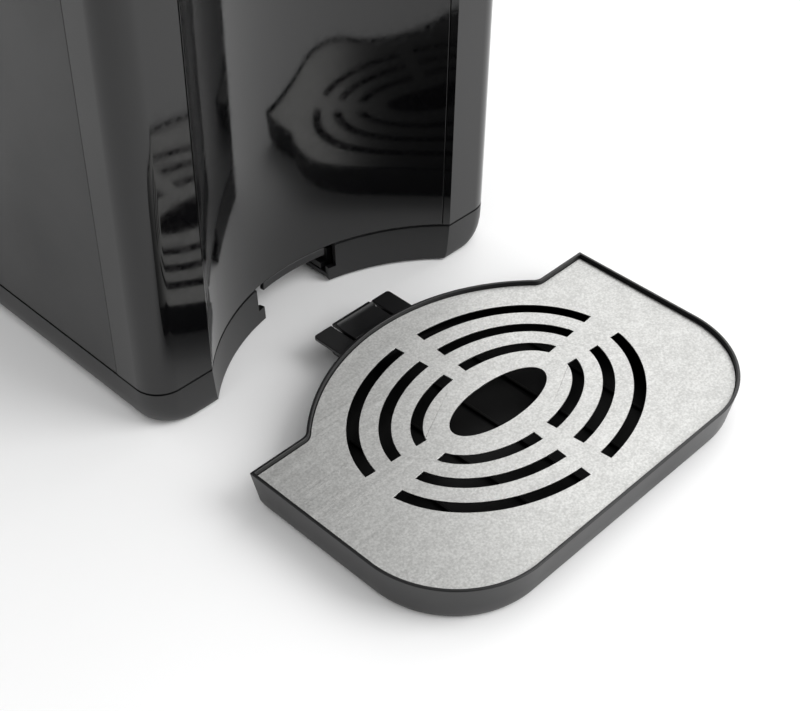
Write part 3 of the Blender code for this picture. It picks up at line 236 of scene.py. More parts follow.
def made(name, mesh, finish, body, stands_for=(), wall=0.0, edge=0.0, steps=2, crease=35):
    """Links a piece with its finish, an optional wall inwards and rounded edges, under its body, hiding what
    it stands for.
    """
    piece = bpy.data.objects.new(name, mesh)
    bpy.context.scene.collection.objects.link(piece)
    mesh.name = name
    mesh.materials.append(finish)
    mesh.shade_smooth()
    mesh.set_sharp_from_angle(angle=math.radians(crease))
    if wall:
        shell = piece.modifiers.new("wall", "SOLIDIFY")
        shell.thickness, shell.offset, shell.use_even_offset = wall, -1.0, True
    if edge:
        rounding = piece.modifiers.new("edges", "BEVEL")
        rounding.width, rounding.segments, rounding.limit_method = edge, steps, "ANGLE"
        rounding.angle_limit = math.radians(crease)
        rounding.harden_normals = False
        even = piece.modifiers.new("even_light", "WEIGHTED_NORMAL")
        even.keep_sharp = True
    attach(piece, body)
    if stands_for:
        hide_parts(*stands_for)
    return piece


# Satin moulded ABS: a near-black plastic from a spark-eroded mould. Its grain of about 0.4 mm spreads
# every reflection into a soft grey bloom.
satin_abs, tree, shader, place = new_finish("satin_moulded_abs", "#121213", 0.40, IOR=1.54)
grain = knot(tree, "ShaderNodeTexNoise", {"Scale": 2400.0, "Detail": 2.0}, {"Vector": place})
drift = knot(tree, "ShaderNodeTexNoise", {"Scale": 22.0, "Detail": 3.0}, {"Vector": place})
rough = knot(tree, "ShaderNodeMapRange", {"From Min": 0.3, "From Max": 0.7, "To Min": 0.36, "To Max": 0.44},
             {"Value": drift.outputs["Fac"]})
dent = knot(tree, "ShaderNodeBump", {"Strength": 0.35, "Distance": 0.00003}, {"Height": grain.outputs["Fac"]})
tree.links.new(rough.outputs["Result"], shader.inputs["Roughness"])
tree.links.new(dent.outputs["Normal"], shader.inputs["Normal"])

heights = np.array([0.0, 0.0004, 0.0010, 0.0020, 0.0034, 0.0057, 0.0090, 0.0125, 0.0150, 0.01635])
heights = base_low.z + heights * (base_high.z - base_low.z) / heights[-1]
heights[5] = OPENING_LEDGE_Z
fade = (base_high.z - heights) / (base_high.z - base_low.z)
heights[-1] -= GROOVE
skirt = level_rings(*((machine_plan(FRONT_DRAFT * t ** 12, SIDE_DRAFT * t ** 4, -RECESS_LEAN * t), z)
                      for t, z in zip(fade, heights)),
                    (machine_plan(GROOVE, GROOVE, GROOVE), base_high.z - GROOVE + 0.0001),
                    (machine_plan(GROOVE, GROOVE, GROOVE), base_high.z))
keep = np.ones((skirt.shape[0] - 1, skirt.shape[1] - 1), bool)
keep[5:, [0, -1]] = False
made("base_skirt", woven(skirt, closed=False, keep=keep), satin_abs, "machine",
     ("base_housing",), wall=BASE_WALL, edge=BASE_EDGE, steps=3)
inner = machine_plan(FRONT_DRAFT, SIDE_DRAFT, 0.0005)
bay = [(-OPENING_LOW_HALF, face_y + BAY_DEPTH), (OPENING_LOW_HALF, face_y + BAY_DEPTH)]
made("base_floor", prism(np.concatenate([inner, bay]), base_low.z + 0.0001,
                         base_low.z + BASE_FLOOR), satin_abs, "machine", edge=0.0003)

# ---------------------------------------------------------------- feet and base screws
# Four rubber feet pressed into pockets under the base, and four zinc plated screws that hold the base
# to the posts of the inner frame. Both keep their built shape.


def dressed(finish, *names):
    """Gives the finish to every built node named, which keeps its own shape."""
    for name in names:
        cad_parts[name].data.materials.clear()
        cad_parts[name].data.materials.append(finish)


def mottled(name, scale, detail, colours, rough, span=(0.3, 0.7), relief=(), **sockets):
    """A material patterned by one noise of this scale and detail.

    Its colour runs from the first hex to the last, its roughness from the first value to the last as
    the noise crosses span, and relief is a bump's strength and its depth in metres.
    """
    finish, tree, shader, place = new_finish(name, colours[0], rough[0], **sockets)
    noise = knot(tree, "ShaderNodeTexNoise", {"Scale": scale, "Detail": detail}, {"Vector": place})
    noise = noise.outputs["Fac"]
    if len(colours) > 1:
        shade = knot(tree, "ShaderNodeMix", {"A": tone(colours[0]), "B": tone(colours[1])}, {"Factor": noise},
                     data_type="RGBA")
        tree.links.new(shade.outputs["Result"], shader.inputs["Base Color"])
    if len(rough) > 1:
        spread = knot(tree, "ShaderNodeMapRange", {"From Min": span[0], "From Max": span[1],
                                                   "To Min": rough[0], "To Max": rough[1]}, {"Value": noise})
        tree.links.new(spread.outputs["Result"], shader.inputs["Roughness"])
    if relief:
        dent = knot(tree, "ShaderNodeBump", {"Strength": relief[0], "Distance": relief[1]}, {"Height": noise})
        tree.links.new(dent.outputs["Normal"], shader.inputs["Normal"])
    return finish


# Moulded rubber: carbon black, dull and slightly dusty, with a pebble of about 0.6 mm.
black_rubber = mottled("moulded_rubber", 1600.0, 3.0, ("#141414", "#202020"), (0.8,), relief=(0.5, 0.00006),
                       IOR=1.52)
dressed(black_rubber, "foot_front_left", "foot_front_right", "foot_rear_left", "foot_rear_right")

# Zinc plated steel: rolled sheet and turned wire with a bluish grey bloom, patchy over about 4 mm.
zinc_steel = mottled("zinc_plated_steel", 260.0, 4.0, ("#a2a5a8", "#c2c3c2"), (0.28, 0.46), Metallic=1.0)
dressed(zinc_steel, "base_screw_front_left", "base_screw_front_right", "base_screw_rear_left",
        "base_screw_rear_right")

# ---------------------------------------------------------------- tray guides and catch
# Two L rails on the base floor steer the tray's tab. A satin ABS bridge over the opening carries the
# lip behind which the tray's sprung finger snaps.
LIP_HALF, LIP_GAP, LIP_DEPTH, LIP_Z = 0.0164, 0.0003, 0.0019, 0.0135
CATCH_SHEET, CATCH_SETBACK, CATCH_LENGTH, CATCH_WING, CATCH_SLOPE = 0.0014, 0.0009, 0.0125, 0.0306, 0.0030
POST_RADIUS, POST_INSET = 0.0030, 0.0045

dressed(satin_abs, "tray_guide_left", "tray_guide_right")
catch_low, catch_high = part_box("tray_catch")


def curved_bar(centre, radius, depth, reach, count=40):
    """A bar seen from above that follows an arc about straight ahead: the arc from left to right, then
    the same arc deeper by its depth run back."""
    front = bend(centre, radius, math.pi / 2 + reach, math.pi / 2 - reach, count)
    back = bend(centre, radius + depth, math.pi / 2 - reach, math.pi / 2 + reach, count)
    return np.concatenate([front, back])


lip = curved_bar(recess_centre, recess_radius + LIP_GAP, LIP_DEPTH, math.asin(LIP_HALF / recess_radius))
made("catch_lip", prism(lip, LIP_Z, catch_high.z), satin_abs, "machine",
     ("tray_catch",), edge=0.0003)
front = bend(recess_centre, recess_radius + LIP_DEPTH / 2, math.pi / 2 + 0.17, math.pi / 2 - 0.17, 24)
neck, tail = face_y + BAY_DEPTH, face_y + BAY_DEPTH + CATCH_LENGTH
bridge = np.concatenate([front, [(LIP_HALF - CATCH_SETBACK, neck - CATCH_SLOPE), (CATCH_WING, neck),
                                 (CATCH_WING, tail), (-CATCH_WING, tail), (-CATCH_WING, neck),
                                 (CATCH_SETBACK - LIP_HALF, neck - CATCH_SLOPE)]])
made("catch_bridge", prism(bridge, catch_high.z - CATCH_SHEET, catch_high.z - 0.0001),
     satin_abs, "machine", edge=0.0002)
for side, name in ((-1, "catch_post_left"), (1, "catch_post_right")):
    middle = (side * (CATCH_WING - POST_INSET), (neck + tail) / 2)
    round_post = bend(middle, POST_RADIUS, 0.0, 2 * math.pi, 33)
    made(name, prism(round_post[:-1], catch_low.z, catch_high.z - CATCH_SHEET / 2), satin_abs,
         "machine")

# ---------------------------------------------------------------- inner frame, pump, meter and heater
# A bent steel sheet stands on the base and carries a solenoid pump, a flow meter, a cast flow heater
# with its clamps, thermostat and fuse, the power board and the hoses. All keep their built shapes.

# Die cast aluminium: bright grey, with the cold-flow mottling of the casting, about 5 mm across.
cast_metal = mottled("die_cast_aluminium", 200.0, 5.0, ("#a4a6a8", "#c6c8ca"), (0.5,), relief=(0.4, 0.0001),
                     Metallic=1.0)

# Natural nylon: moulded, milky white and faintly waxy, with flow clouds of about 8 mm.
nylon = mottled("natural_nylon", 120.0, 3.0, ("#dddacf", "#eae8e2"), (0.42,), IOR=1.53, Subsurface_Weight=0.1)

# Silicone hose: extruded, translucent milky grey, with drawing marks of about 0.5 mm and a soft sheen.
silicone = mottled("silicone_hose", 2000.0, 2.0, ("#cfcdc6",), (0.42, 0.60), span=(0.0, 1.0), IOR=1.41,
                   Transmission_Weight=0.25)

# Circuit board: glass laminate under green solder mask, copper tracks 0.8 mm apart showing through.
board_green, tree, shader, place = new_finish("solder_mask_laminate", "#0f4a26", 0.38, IOR=1.5)
tracks = knot(tree, "ShaderNodeTexBrick", {"Color1": tone("#0d4422"), "Color2": tone("#145530"),
                                           "Mortar": tone("#2a6f3c"), "Scale": 1.0, "Mortar Size": 0.0002,
                                           "Brick Width": 0.0090, "Row Height": 0.0016},
              {"Vector": place})
tree.links.new(tracks.outputs["Color"], shader.inputs["Base Color"])

# Glass-filled nylon parts: black, moulded, with a dry sparkle of glass fibre about 0.5 mm long.
filled_nylon, tree, shader, place = new_finish("glass_filled_nylon", "#26262a", 0.5, IOR=1.55)
fibre = knot(tree, "ShaderNodeTexVoronoi", {"Scale": 2000.0}, {"Vector": place})
rough = knot(tree, "ShaderNodeMapRange", {"To Min": 0.40, "To Max": 0.58},
             {"Value": fibre.outputs["Distance"]})
tree.links.new(rough.outputs["Result"], shader.inputs["Roughness"])

dressed(zinc_steel, "inner_frame", "pump_piston", "heater_clamp_lower", "heater_clamp_upper")
dressed(cast_metal, "flow_heater")
dressed(nylon, "pump_body", "flow_meter_body", "flow_meter_cap", "thermal_fuse")
dressed(silicone, "suction_hose", "pump_inlet_hose", "pressure_hose", "outlet_pipe")
dressed(board_green, "power_board")
dressed(filled_nylon, "pump_coil", "thermostat", "flow_impeller")
dressed(black_rubber, "pump_mount")


def wound(node, turns, axis, wire=0.0004, sides=10):
    """A spring of round wire that fills its built node's box along an axis.

    With t the angle, the wire's middle runs along (r cos t, r sin t, pitch t), and each ring of the
    tube goes round it at the wire's radius along the outward normal and the tangent crossed with it.
    """
    low, high = (np.roll(np.array(corner), 2 - axis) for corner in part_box(node))
    middle, radius = (low + high) / 2, (high[0] - low[0]) / 2 - wire
    angle = np.linspace(0.0, 2 * math.pi * turns, 24 * turns + 1)
    rise = (high[2] - low[2] - 2 * wire) / angle[-1]
    out = np.column_stack([np.cos(angle), np.sin(angle), np.zeros(len(angle))])
    run = np.column_stack([-radius * np.sin(angle), radius * np.cos(angle), np.full(len(angle), rise)])
    over = np.cross(run / np.linalg.norm(run, axis=1)[:, None], out)
    line = radius * out + np.column_stack([np.full(len(angle), middle[0]), np.full(len(angle), middle[1]),
                                           low[2] + wire + rise * angle])
    turn = np.linspace(0.0, 2 * math.pi, sides + 1)[:-1, None]
    tube = line[:, None] + wire * (np.cos(turn) * out[:, None] + np.sin(turn) * over[:, None])
    return woven(np.roll(tube, axis - 2, axis=-1), caps=(0, 1))


def sprung(name, node, turns, axis, body):
    """A wound spring of zinc plated wire that takes its built node's place, on a mesh of its own."""
    piece = made(name, wound(node, turns, axis), zinc_steel, body, (node,))
    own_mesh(piece)


PUMP_TURNS, PUMP_STROKE = 6, 0.0040
sprung("pump_spring_wire", "pump_spring", PUMP_TURNS, 0, "machine")

# ---------------------------------------------------------------- recess panel and front strips
# Three mirror-black mouldings clip to the column: a curved panel lines the recess, and a strip each
# side wraps from the recess round the front corner to the side panel.
PANEL, PANEL_EDGE, STRIP_WRAP, STRIP_RETURN, JOINT_GAP = 0.0023, 0.0004, 0.0220, 0.0028, 0.0003

# Gloss ABS: moulded in a polished mould, deep black. It mirrors the tray, with a slow waviness of about
# 30 mm from cooling and a haze of fine wiping marks.
gloss_abs, tree, shader, place = new_finish("polished_black_abs", "#060607", 0.06, IOR=1.54)
ripple = knot(tree, "ShaderNodeTexNoise", {"Scale": 34.0, "Detail": 1.0}, {"Vector": place})
wipe = knot(tree, "ShaderNodeTexNoise", {"Scale": 420.0, "Detail": 4.0}, {"Vector": place})
rough = knot(tree, "ShaderNodeMapRange", {"From Min": 0.3, "From Max": 0.7, "To Min": 0.04, "To Max": 0.10},
             {"Value": wipe.outputs["Fac"]})
dent = knot(tree, "ShaderNodeBump", {"Strength": 0.25, "Distance": 0.0002}, {"Height": ripple.outputs["Fac"]})
tree.links.new(rough.outputs["Result"], shader.inputs["Roughness"])
tree.links.new(dent.outputs["Normal"], shader.inputs["Normal"])


def shifted(path, distance):
    """An open path moved to its left: each point along the sum of its two edges' unit left normals
    over one plus their dot product, which keeps straight runs parallel."""
    run = np.diff(path, axis=0)
    left = np.column_stack([-run[:, 1], run[:, 0]]) / np.linalg.norm(run, axis=1)[:, None]
    before, after = np.concatenate([left[:1], left]), np.concatenate([left, left[-1:]])
    return path + distance * (before + after) / (1 + (before * after).sum(axis=1))[:, None]


panel_low, panel_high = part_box("recess_panel")
swing = math.atan2(face_y - recess_centre[1], RECESS_HALF)
joint = swing + (STRIP_RETURN + JOINT_GAP) / recess_radius
lining = curved_bar(recess_centre, recess_radius, PANEL, math.pi / 2 - joint, 120)
made("recess_lining", prism(lining, panel_low.z, panel_high.z), gloss_abs, "machine",
     ("recess_panel",), edge=0.00025)
strip = np.concatenate([
    bend(recess_centre, recess_radius, swing + STRIP_RETURN / recess_radius, swing, 5),
    bend((half - BASE_CORNER, face_y + BASE_CORNER), BASE_CORNER, -math.pi / 2, 0.0, 24),
    [(half, face_y + STRIP_WRAP)]])
section = np.concatenate([strip, shifted(strip, PANEL)[::-1]])
made("corner_strip_right", prism(section, panel_low.z, panel_high.z), gloss_abs,
     "machine", ("front_strip_right",), edge=PANEL_EDGE, steps=3)
section = section[::-1] * (-1, 1)
made("corner_strip_left", prism(section, panel_low.z, panel_high.z), gloss_abs,
     "machine", ("front_strip_left",), edge=PANEL_EDGE, steps=3)

# ---------------------------------------------------------------- side panels and column back
# Flat satin ABS panels close the column's sides, each slid in behind its strip, and a plain sheet with
# one hole for the hose closes the column towards the tank.
for side, name, node in ((-1, "flank_left", "side_panel_left"), (1, "flank_right", "side_panel_right")):
    low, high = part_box(node)
    plan = np.array([(low.x, low.y), (high.x, low.y), (high.x, high.y), (low.x, high.y)])
    made(name, prism(plan, low.z, high.z), satin_abs, "machine", (node,), edge=0.0003)
dressed(satin_abs, "column_back")

# ---------------------------------------------------------------- head
# One polished black housing overhangs the recess. A satin plate closes it from below round the spout,
# and a glossy panel set flush in its top carries the buttons, the window and the dial.
HEAD_CORNER, HEAD_REACH, HEAD_WALL = 0.0360, 0.0720, 0.0028
CROWN_RISE, CROWN_INSET, FOOT_ROUND, FOOT_RISE = 0.0100, 0.0070, 0.0020, 0.0025
PANEL_HALF, PANEL_FRONT, PANEL_BACK, PANEL_CORNER = 0.0600, -0.0560, 0.0720, 0.0100
POCKET_DEPTH, POCKET_GAP = 0.0017, 0.0003
UNDERSIDE_SHEET, UNDERSIDE_TAIL = 0.0020, 0.0304

head_low, head_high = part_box("head_shell")
column_y = head_high.y


def head_plan(inset=0.0, back=None):
    """The head seen from above: straight sides, a straight back and two round front corners."""
    x, corner = half - inset, HEAD_CORNER - inset
    front, rear = face_y - HEAD_REACH + inset, column_y - inset if back is None else back
    side = np.column_stack([np.full(12, -x), np.linspace(rear, front + corner, 12)])
    nose = np.column_stack([np.linspace(corner - x, 0.0, 8), np.full(8, front)])
    left = np.concatenate([side[:-1], bend((corner - x, front + corner), corner, math.pi, 1.5 * math.pi, 28),
                           nose[1:]])
    tail = np.column_stack([np.linspace(x, -x, 16), np.full(16, rear)])
    return np.concatenate([left, left[-2::-1] * (-1, 1), tail[1:-1]])


def round_block(x_half, front, back, corner, count=12):
    """A rectangle centred on x = 0 with four quarter-circle corners."""
    x = x_half - corner
    return np.concatenate([bend((x, front + corner), corner, -math.pi / 2, 0.0, count),
                           bend((x, back - corner), corner, 0.0, math.pi / 2, count),
                           bend((-x, back - corner), corner, math.pi / 2, math.pi, count),
                           bend((-x, front + corner), corner, math.pi, 1.5 * math.pi, count)])


def towards(outline, centre, others):
    """Points of the outline in the directions of the other points: its radius by angle from the centre,
    read off 6000 points laid evenly along it."""
    ends = np.concatenate([outline, outline[:1]])
    along = np.concatenate([[0.0], np.cumsum(np.hypot(*np.diff(ends, axis=0).T))])
    mark = np.linspace(0.0, along[-1], 6001)[:-1]
    ray = np.column_stack([np.interp(mark, along, ends[:, 0]), np.interp(mark, along, ends[:, 1])]) - centre
    aim = others - centre
    angle = np.arctan2(ray[:, 1], ray[:, 0])
    order = np.argsort(angle)
    turn = np.arctan2(aim[:, 1], aim[:, 0])
    radius = np.interp(turn, angle[order], np.hypot(*ray[order].T), period=2 * math.pi)
    return centre + np.column_stack([np.cos(turn), np.sin(turn)]) * radius[:, None]


quarter = np.linspace(0.0, math.pi / 2, 9)
rings = [(head_plan(HEAD_WALL + 0.0060), head_high.z - 0.0034), (head_plan(HEAD_WALL), head_high.z - 0.0140),
         (head_plan(HEAD_WALL), head_low.z + 0.0003), (head_plan(HEAD_WALL - 0.0003), head_low.z)]
rings += [(head_plan(FOOT_ROUND * (1 - math.sin(a))), head_low.z + FOOT_RISE * (1 - math.cos(a)))
          for a in quarter]
rings += [(head_plan(CROWN_INSET * (1 - math.cos(a))), head_high.z - CROWN_RISE * (1 - math.sin(a)))
          for a in quarter]
centre = np.array([0.0, face_y + (PANEL_FRONT + PANEL_BACK) / 2])
pocket = round_block(PANEL_HALF + POCKET_GAP, face_y + PANEL_FRONT - POCKET_GAP,
                     face_y + PANEL_BACK + POCKET_GAP, PANEL_CORNER + POCKET_GAP, 40)
edge = towards(pocket, centre, rings[-1][0])
rings += [(edge, head_high.z), (edge, head_high.z - POCKET_DEPTH)]
made("head_housing", woven(level_rings(*rings), caps=(0, 1)), gloss_abs, "machine",
     ("head_shell",), crease=40)


def pierced(outlines, height):
    """A flat sheet at this height that fills the first outline and leaves out the holes after it, by
    constrained Delaunay, worked in millimetres."""
    points = np.concatenate(outlines) * 1000
    ends = np.cumsum([0] + [len(outline) for outline in outlines])
    loops = [list(range(a, b)) for a, b in zip(ends[:-1], ends[1:])]
    spots, _, faces, *_ = delaunay_2d_cdt([Vector(p) for p in points], [], loops, 5, 1e-5)
    flat = np.array([(p.x, p.y) for p in spots]) / 1000
    mesh = bpy.data.meshes.new("pierced")
    mesh.from_pydata(np.column_stack([flat, np.full(len(flat), height)]).tolist(), [], faces)
    return mesh


def ring_of(centre, radius, count=64):
    """A closed circle of points seen from above, without its first point repeated."""
    return bend(centre, radius, 0.0, 2 * math.pi, count + 1)[:-1]


def lathed(profile, origin, count=64, axis="Z", closed=False, caps=(0, 1)):
    """A profile of (radius, height) points turned round an axis: radius times cosine and sine, height."""
    radius, rise = np.array(profile).T
    angle = np.linspace(0.0, 2 * math.pi, count + 1)[:-1]
    grid = np.stack([radius[:, None] * np.cos(angle), radius[:, None] * np.sin(angle),
                     np.repeat(rise[:, None], count, axis=1)], axis=-1)
    grid = grid if axis == "Z" else np.roll(grid, 2 if axis == "Y" else 1, axis=-1)
    grid = grid + np.array(origin)
    return woven(np.concatenate([grid, grid[:1]]) if closed else grid, caps=() if closed else caps)


nozzle_low, nozzle_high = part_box("spout_nozzle")
spout = np.array([0.0, (nozzle_low.y + nozzle_high.y) / 2])
NOZZLE_RADIUS, NOZZLE_BORE, NOZZLE_FLANGE = 0.0100, 0.0030, 0.0130
under_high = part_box("head_underside")[1]
inset = HEAD_WALL + POCKET_GAP
under = [head_plan(inset, face_y + UNDERSIDE_TAIL), ring_of(spout, NOZZLE_RADIUS + POCKET_GAP)]
made("head_closing_plate", pierced(under, under_high.z), satin_abs, "machine",
     ("head_underside",), wall=UNDERSIDE_SHEET, edge=0.0003)
tip, top = nozzle_low.z, nozzle_high.z
turned_nozzle = [(NOZZLE_BORE, top), (NOZZLE_BORE, tip + 0.0006), (NOZZLE_BORE + 0.0006, tip),
                 (0.0066, tip), (0.0074, tip + 0.0003), (0.0086, tip + 0.0022), (0.0092, tip + 0.0040),
                 (0.0095, tip + 0.0100), (NOZZLE_RADIUS, top - 0.0026), (NOZZLE_RADIUS, top - 0.0023),
                 (NOZZLE_FLANGE, top - 0.0023), (NOZZLE_FLANGE, top)]
made("spout", lathed(turned_nozzle, (*spout, 0.0), closed=True), satin_abs, "machine",
     ("spout_nozzle",))

# ---------------------------------------------------------------- control panel, buttons and dial
# A glossy panel with three sprung push buttons, a smoked window over the display and a turned
# aluminium dial for the amount. The board under it, with the dial's encoder, keeps its built shape.
BUTTON_RADIUS, BUTTON_PLAY, BUTTON_SKIRT = 0.0085, 0.0004, 0.0014
STEM_RADIUS, STEM_PLAY = 0.0030, 0.0006
DIAL_FLUTES, DIAL_FLUTE_DEPTH = 72, 0.00022

BUTTONS = {"power_button": "power_key", "start_button": "start_key", "child_lock_button": "lock_key"}
middles = {name: (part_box(name)[0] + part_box(name)[1]) / 2 for name in (*BUTTONS, "amount_dial")}
outlines = [round_block(PANEL_HALF, face_y + PANEL_FRONT, face_y + PANEL_BACK, PANEL_CORNER, 24)]
outlines += [ring_of(middles[name][:2], BUTTON_RADIUS + BUTTON_PLAY) for name in BUTTONS]
outlines += [ring_of(middles["amount_dial"][:2], STEM_RADIUS + STEM_PLAY, 32)]
sheet_low, sheet_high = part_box("control_panel")
made("control_fascia", pierced(outlines, sheet_high.z), gloss_abs, "machine",
     ("control_panel",), wall=sheet_high.z - sheet_low.z, edge=0.0002)

# Button plastic: satin ABS a shade lighter than the housing, polished by fingers over patches of 4 mm.
key_abs = mottled("satin_button_abs", 250.0, 3.0, ("#303032",), (0.28, 0.42), IOR=1.54)
for name, body in BUTTONS.items():
    low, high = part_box(name)
    foot, rim_z = low.z, high.z
    wide = BUTTON_RADIUS + BUTTON_SKIRT
    a = np.linspace(0.0, math.pi / 2, 6)
    rim = np.column_stack([BUTTON_RADIUS - 0.0009 * (1 - np.cos(a)), rim_z - 0.0009 * (1 - np.sin(a))])
    dish = [(BUTTON_RADIUS * f, rim_z - 0.0005 * (1 - (f / 0.86) ** 2)) for f in (0.84, 0.7, 0.5, 0.3, 0.12)]
    made(name.replace("button", "cap"), lathed([(wide, foot), (wide, foot + 0.0013),
                                                (BUTTON_RADIUS, foot + 0.0013), *rim.tolist(), *dish],
                                         (*middles[name][:2], 0.0)), key_abs, body, (name,))

# Smoked polycarbonate: clear, tinted dark, with a polished surface that shows soft moulding flow.
smoked_clear = mottled("smoked_polycarbonate", 55.0, 2.0, ("#4c5054", "#62666a"), (0.06,),
                       relief=(0.15, 0.0002), IOR=1.585, Transmission_Weight=0.92)
low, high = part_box("display_window")
pane = round_block(high.x, low.y, high.y, 0.003)
made("display_pane", prism(pane, low.z, high.z), smoked_clear, "machine",
     ("display_window",), edge=0.0003, steps=3)

# Turned aluminium: bright cut rings about 0.5 mm apart on the face, a soft anodised grey beneath.
dial_metal, tree, shader, place = new_finish("turned_aluminium", "#b9babd", 0.3, Metallic=1.0)
low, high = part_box("amount_dial")
hub = middles["amount_dial"]
centred = knot(tree, "ShaderNodeMapping", {"Location": (0.0, -hub.y, 0.0)}, {"Vector": place})
cuts = knot(tree, "ShaderNodeTexWave", {"Scale": 640.0, "Distortion": 0.4, "Detail": 1.0},
            {"Vector": centred.outputs["Vector"]}, wave_type="RINGS", rings_direction="Z")
rough = knot(tree, "ShaderNodeMapRange", {"To Min": 0.24, "To Max": 0.36}, {"Value": cuts.outputs["Fac"]})
dent = knot(tree, "ShaderNodeBump", {"Strength": 0.25, "Distance": 0.00004}, {"Height": cuts.outputs["Fac"]})
tree.links.new(rough.outputs["Result"], shader.inputs["Roughness"])
tree.links.new(dent.outputs["Normal"], shader.inputs["Normal"])
radius, deck = high.x, head_high.z
turn = np.linspace(0.0, 2 * math.pi, DIAL_FLUTES * 6 + 1)[:-1]
flute = DIAL_FLUTE_DEPTH * (0.5 - 0.5 * np.cos(DIAL_FLUTES * turn))
# radius, height and how much of the flutes' depth is cut at each ring, from the stem's foot to the face
collar, top = deck + 0.0006, high.z
stations = np.array([(STEM_RADIUS, low.z, 0), (STEM_RADIUS, collar, 0), (radius - 0.0004, collar, 0),
                     (radius, deck + 0.0010, 0), (radius, deck + 0.0020, 0),
                     (radius - 0.0002, deck + 0.0024, 1), (radius - 0.0010, top - 0.0018, 1),
                     (radius - 0.0012, top - 0.0014, 0), (radius - 0.0020, top - 0.0004, 0),
                     (radius - 0.0028, top, 0), (radius - 0.0040, top, 0),
                     (radius - 0.0046, top - 0.0005, 0), (0.0004, top - 0.0005, 0)])
reach = stations[:, :1] - stations[:, 2:] * flute
grid = np.stack([reach * np.cos(turn), reach * np.sin(turn),
                 np.repeat(stations[:, 1:2], len(turn), axis=1)], axis=-1) + np.array([hub.x, hub.y, 0])
made("dial_knob", woven(grid, caps=(0, 1)), dial_metal, "dial", ("amount_dial",))
# A white line filled into the dial's face points to the chosen amount.
paint = mottled("white_line_fill", 900.0, 2.0, ("#dedede", "#eeeeee"), (0.45,), IOR=1.5)
MARK_HALF, MARK_CORNER, MARK_START, MARK_END = 0.0006, 0.00055, 0.0056, 0.0070
mark = round_block(MARK_HALF, hub.y - radius + MARK_START, hub.y - MARK_END, MARK_CORNER, 6)
made("dial_mark", prism(mark, high.z - 0.0006, high.z - 0.0003), paint, "dial")
dressed(board_green, "control_board")

# ---------------------------------------------------------------- tank cradle
# A satin ABS shelf behind the column that the tank sits on. It hides the nylon port with its silicone
# seal and lets the mains inlet out at the back.
REAR_CORNER, CRADLE_WALL, CRADLE_TOP = 0.0160, 0.0025, 0.0028
NECK_RADIUS, NECK_PLAY = 0.0080, 0.0013

cradle_low, cradle_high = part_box("tank_cradle")
tank_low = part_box("water_tank")[0]
port = (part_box("tank_port")[0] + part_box("tank_port")[1]) / 2


def rear_plan(inset, front, back_extra=0.0):
    """The plan behind the column, square in front and with two round corners at the back."""
    x, back, corner = half - inset, back_y - inset - back_extra, REAR_CORNER - inset
    return np.concatenate([np.column_stack([np.linspace(-x, x, 10), np.full(10, front)]),
                           bend((x - corner, back - corner), corner, 0.0, math.pi / 2, 20),
                           bend((corner - x, back - corner), corner, math.pi / 2, math.pi, 20)])


def eased(inset):
    """The cradle's plan moved inwards on all four sides."""
    return rear_plan(inset, cradle_low.y + inset)


plan, under = eased(0.0), eased(CRADLE_WALL)
rings = [(under, cradle_high.z - CRADLE_TOP), (under, cradle_low.z + 0.0002),
         (eased(CRADLE_WALL - 0.0002), cradle_low.z), (eased(0.0003), cradle_low.z),
         (plan, cradle_low.z + 0.0003), (plan, cradle_high.z - 0.0006),
         (eased(0.0002), cradle_high.z - 0.0002), (eased(0.0006), cradle_high.z)]
mouth = ring_of(port[:2], NECK_RADIUS + NECK_PLAY, 90)
top_mouth = towards(mouth, np.array(port[:2]), plan)
rings += [(top_mouth, cradle_high.z), (top_mouth, cradle_high.z - CRADLE_TOP)]
made("cradle_shelf", woven(level_rings(*rings, rings[0])), satin_abs, "machine",
     ("tank_cradle",))
dressed(nylon, "tank_port")
dressed(silicone, "tank_seal")
dressed(black_rubber, "mains_inlet")

# ---------------------------------------------------------------- water tank and lid
# A clear smoked vessel that lifts straight off. Its neck carries the sprung valve under a strainer,
# and a satin lid swings on a steel pin through two lugs at the back.
TANK_INSET, TANK_WALL, TANK_FLOOR, TANK_ROUND, NECK_BORE = 0.0015, 0.0022, 0.0025, 0.0018, 0.0045
LUG_IN, LUG_OUT, LUG_FRONT, LUG_BACK = 0.0560, 0.0600, 0.0030, 0.0027
NOTCH_DEPTH, NOTCH_PLAY, LID_INSET = 0.0078, 0.0005, 0.0018

pin_low, pin_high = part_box("lid_hinge_pin")
hinge_y = (pin_low.y + pin_high.y) / 2
lid_low, lid_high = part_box("tank_lid")
front, wall = tank_low.y, TANK_WALL
floor_z, rim_z = cradle_high.z + 0.0003, lid_low.z - 0.0015
neck_outer = towards(ring_of(port[:2], NECK_RADIUS, 90), np.array(port[:2]), rear_plan(TANK_INSET, front))
neck_inner = towards(ring_of(port[:2], NECK_BORE, 90), np.array(port[:2]), rear_plan(TANK_INSET, front))
rings = [(rear_plan(TANK_INSET + TANK_ROUND * (1 - math.sin(a)), front + TANK_ROUND * (1 - math.sin(a))),
          floor_z + TANK_ROUND * (1 - math.cos(a))) for a in quarter[::2]]
rings += [(rear_plan(TANK_INSET, front), z) for z in (rim_z - 0.10, rim_z - 0.0008)]
rings += [(rear_plan(TANK_INSET + 0.0008, front + 0.0008), rim_z),
          (rear_plan(TANK_INSET + wall - 0.0008, front + wall - 0.0008), rim_z),
          (rear_plan(TANK_INSET + wall, front + wall), rim_z - 0.0008),
          (rear_plan(TANK_INSET + wall, front + wall), floor_z + TANK_FLOOR + TANK_ROUND)]
rings += [(rear_plan(TANK_INSET + wall + TANK_ROUND * (1 - math.cos(a)), front + wall + TANK_ROUND
                     * (1 - math.cos(a))), floor_z + TANK_FLOOR + TANK_ROUND * (1 - math.sin(a)))
          for a in quarter[2::2]]
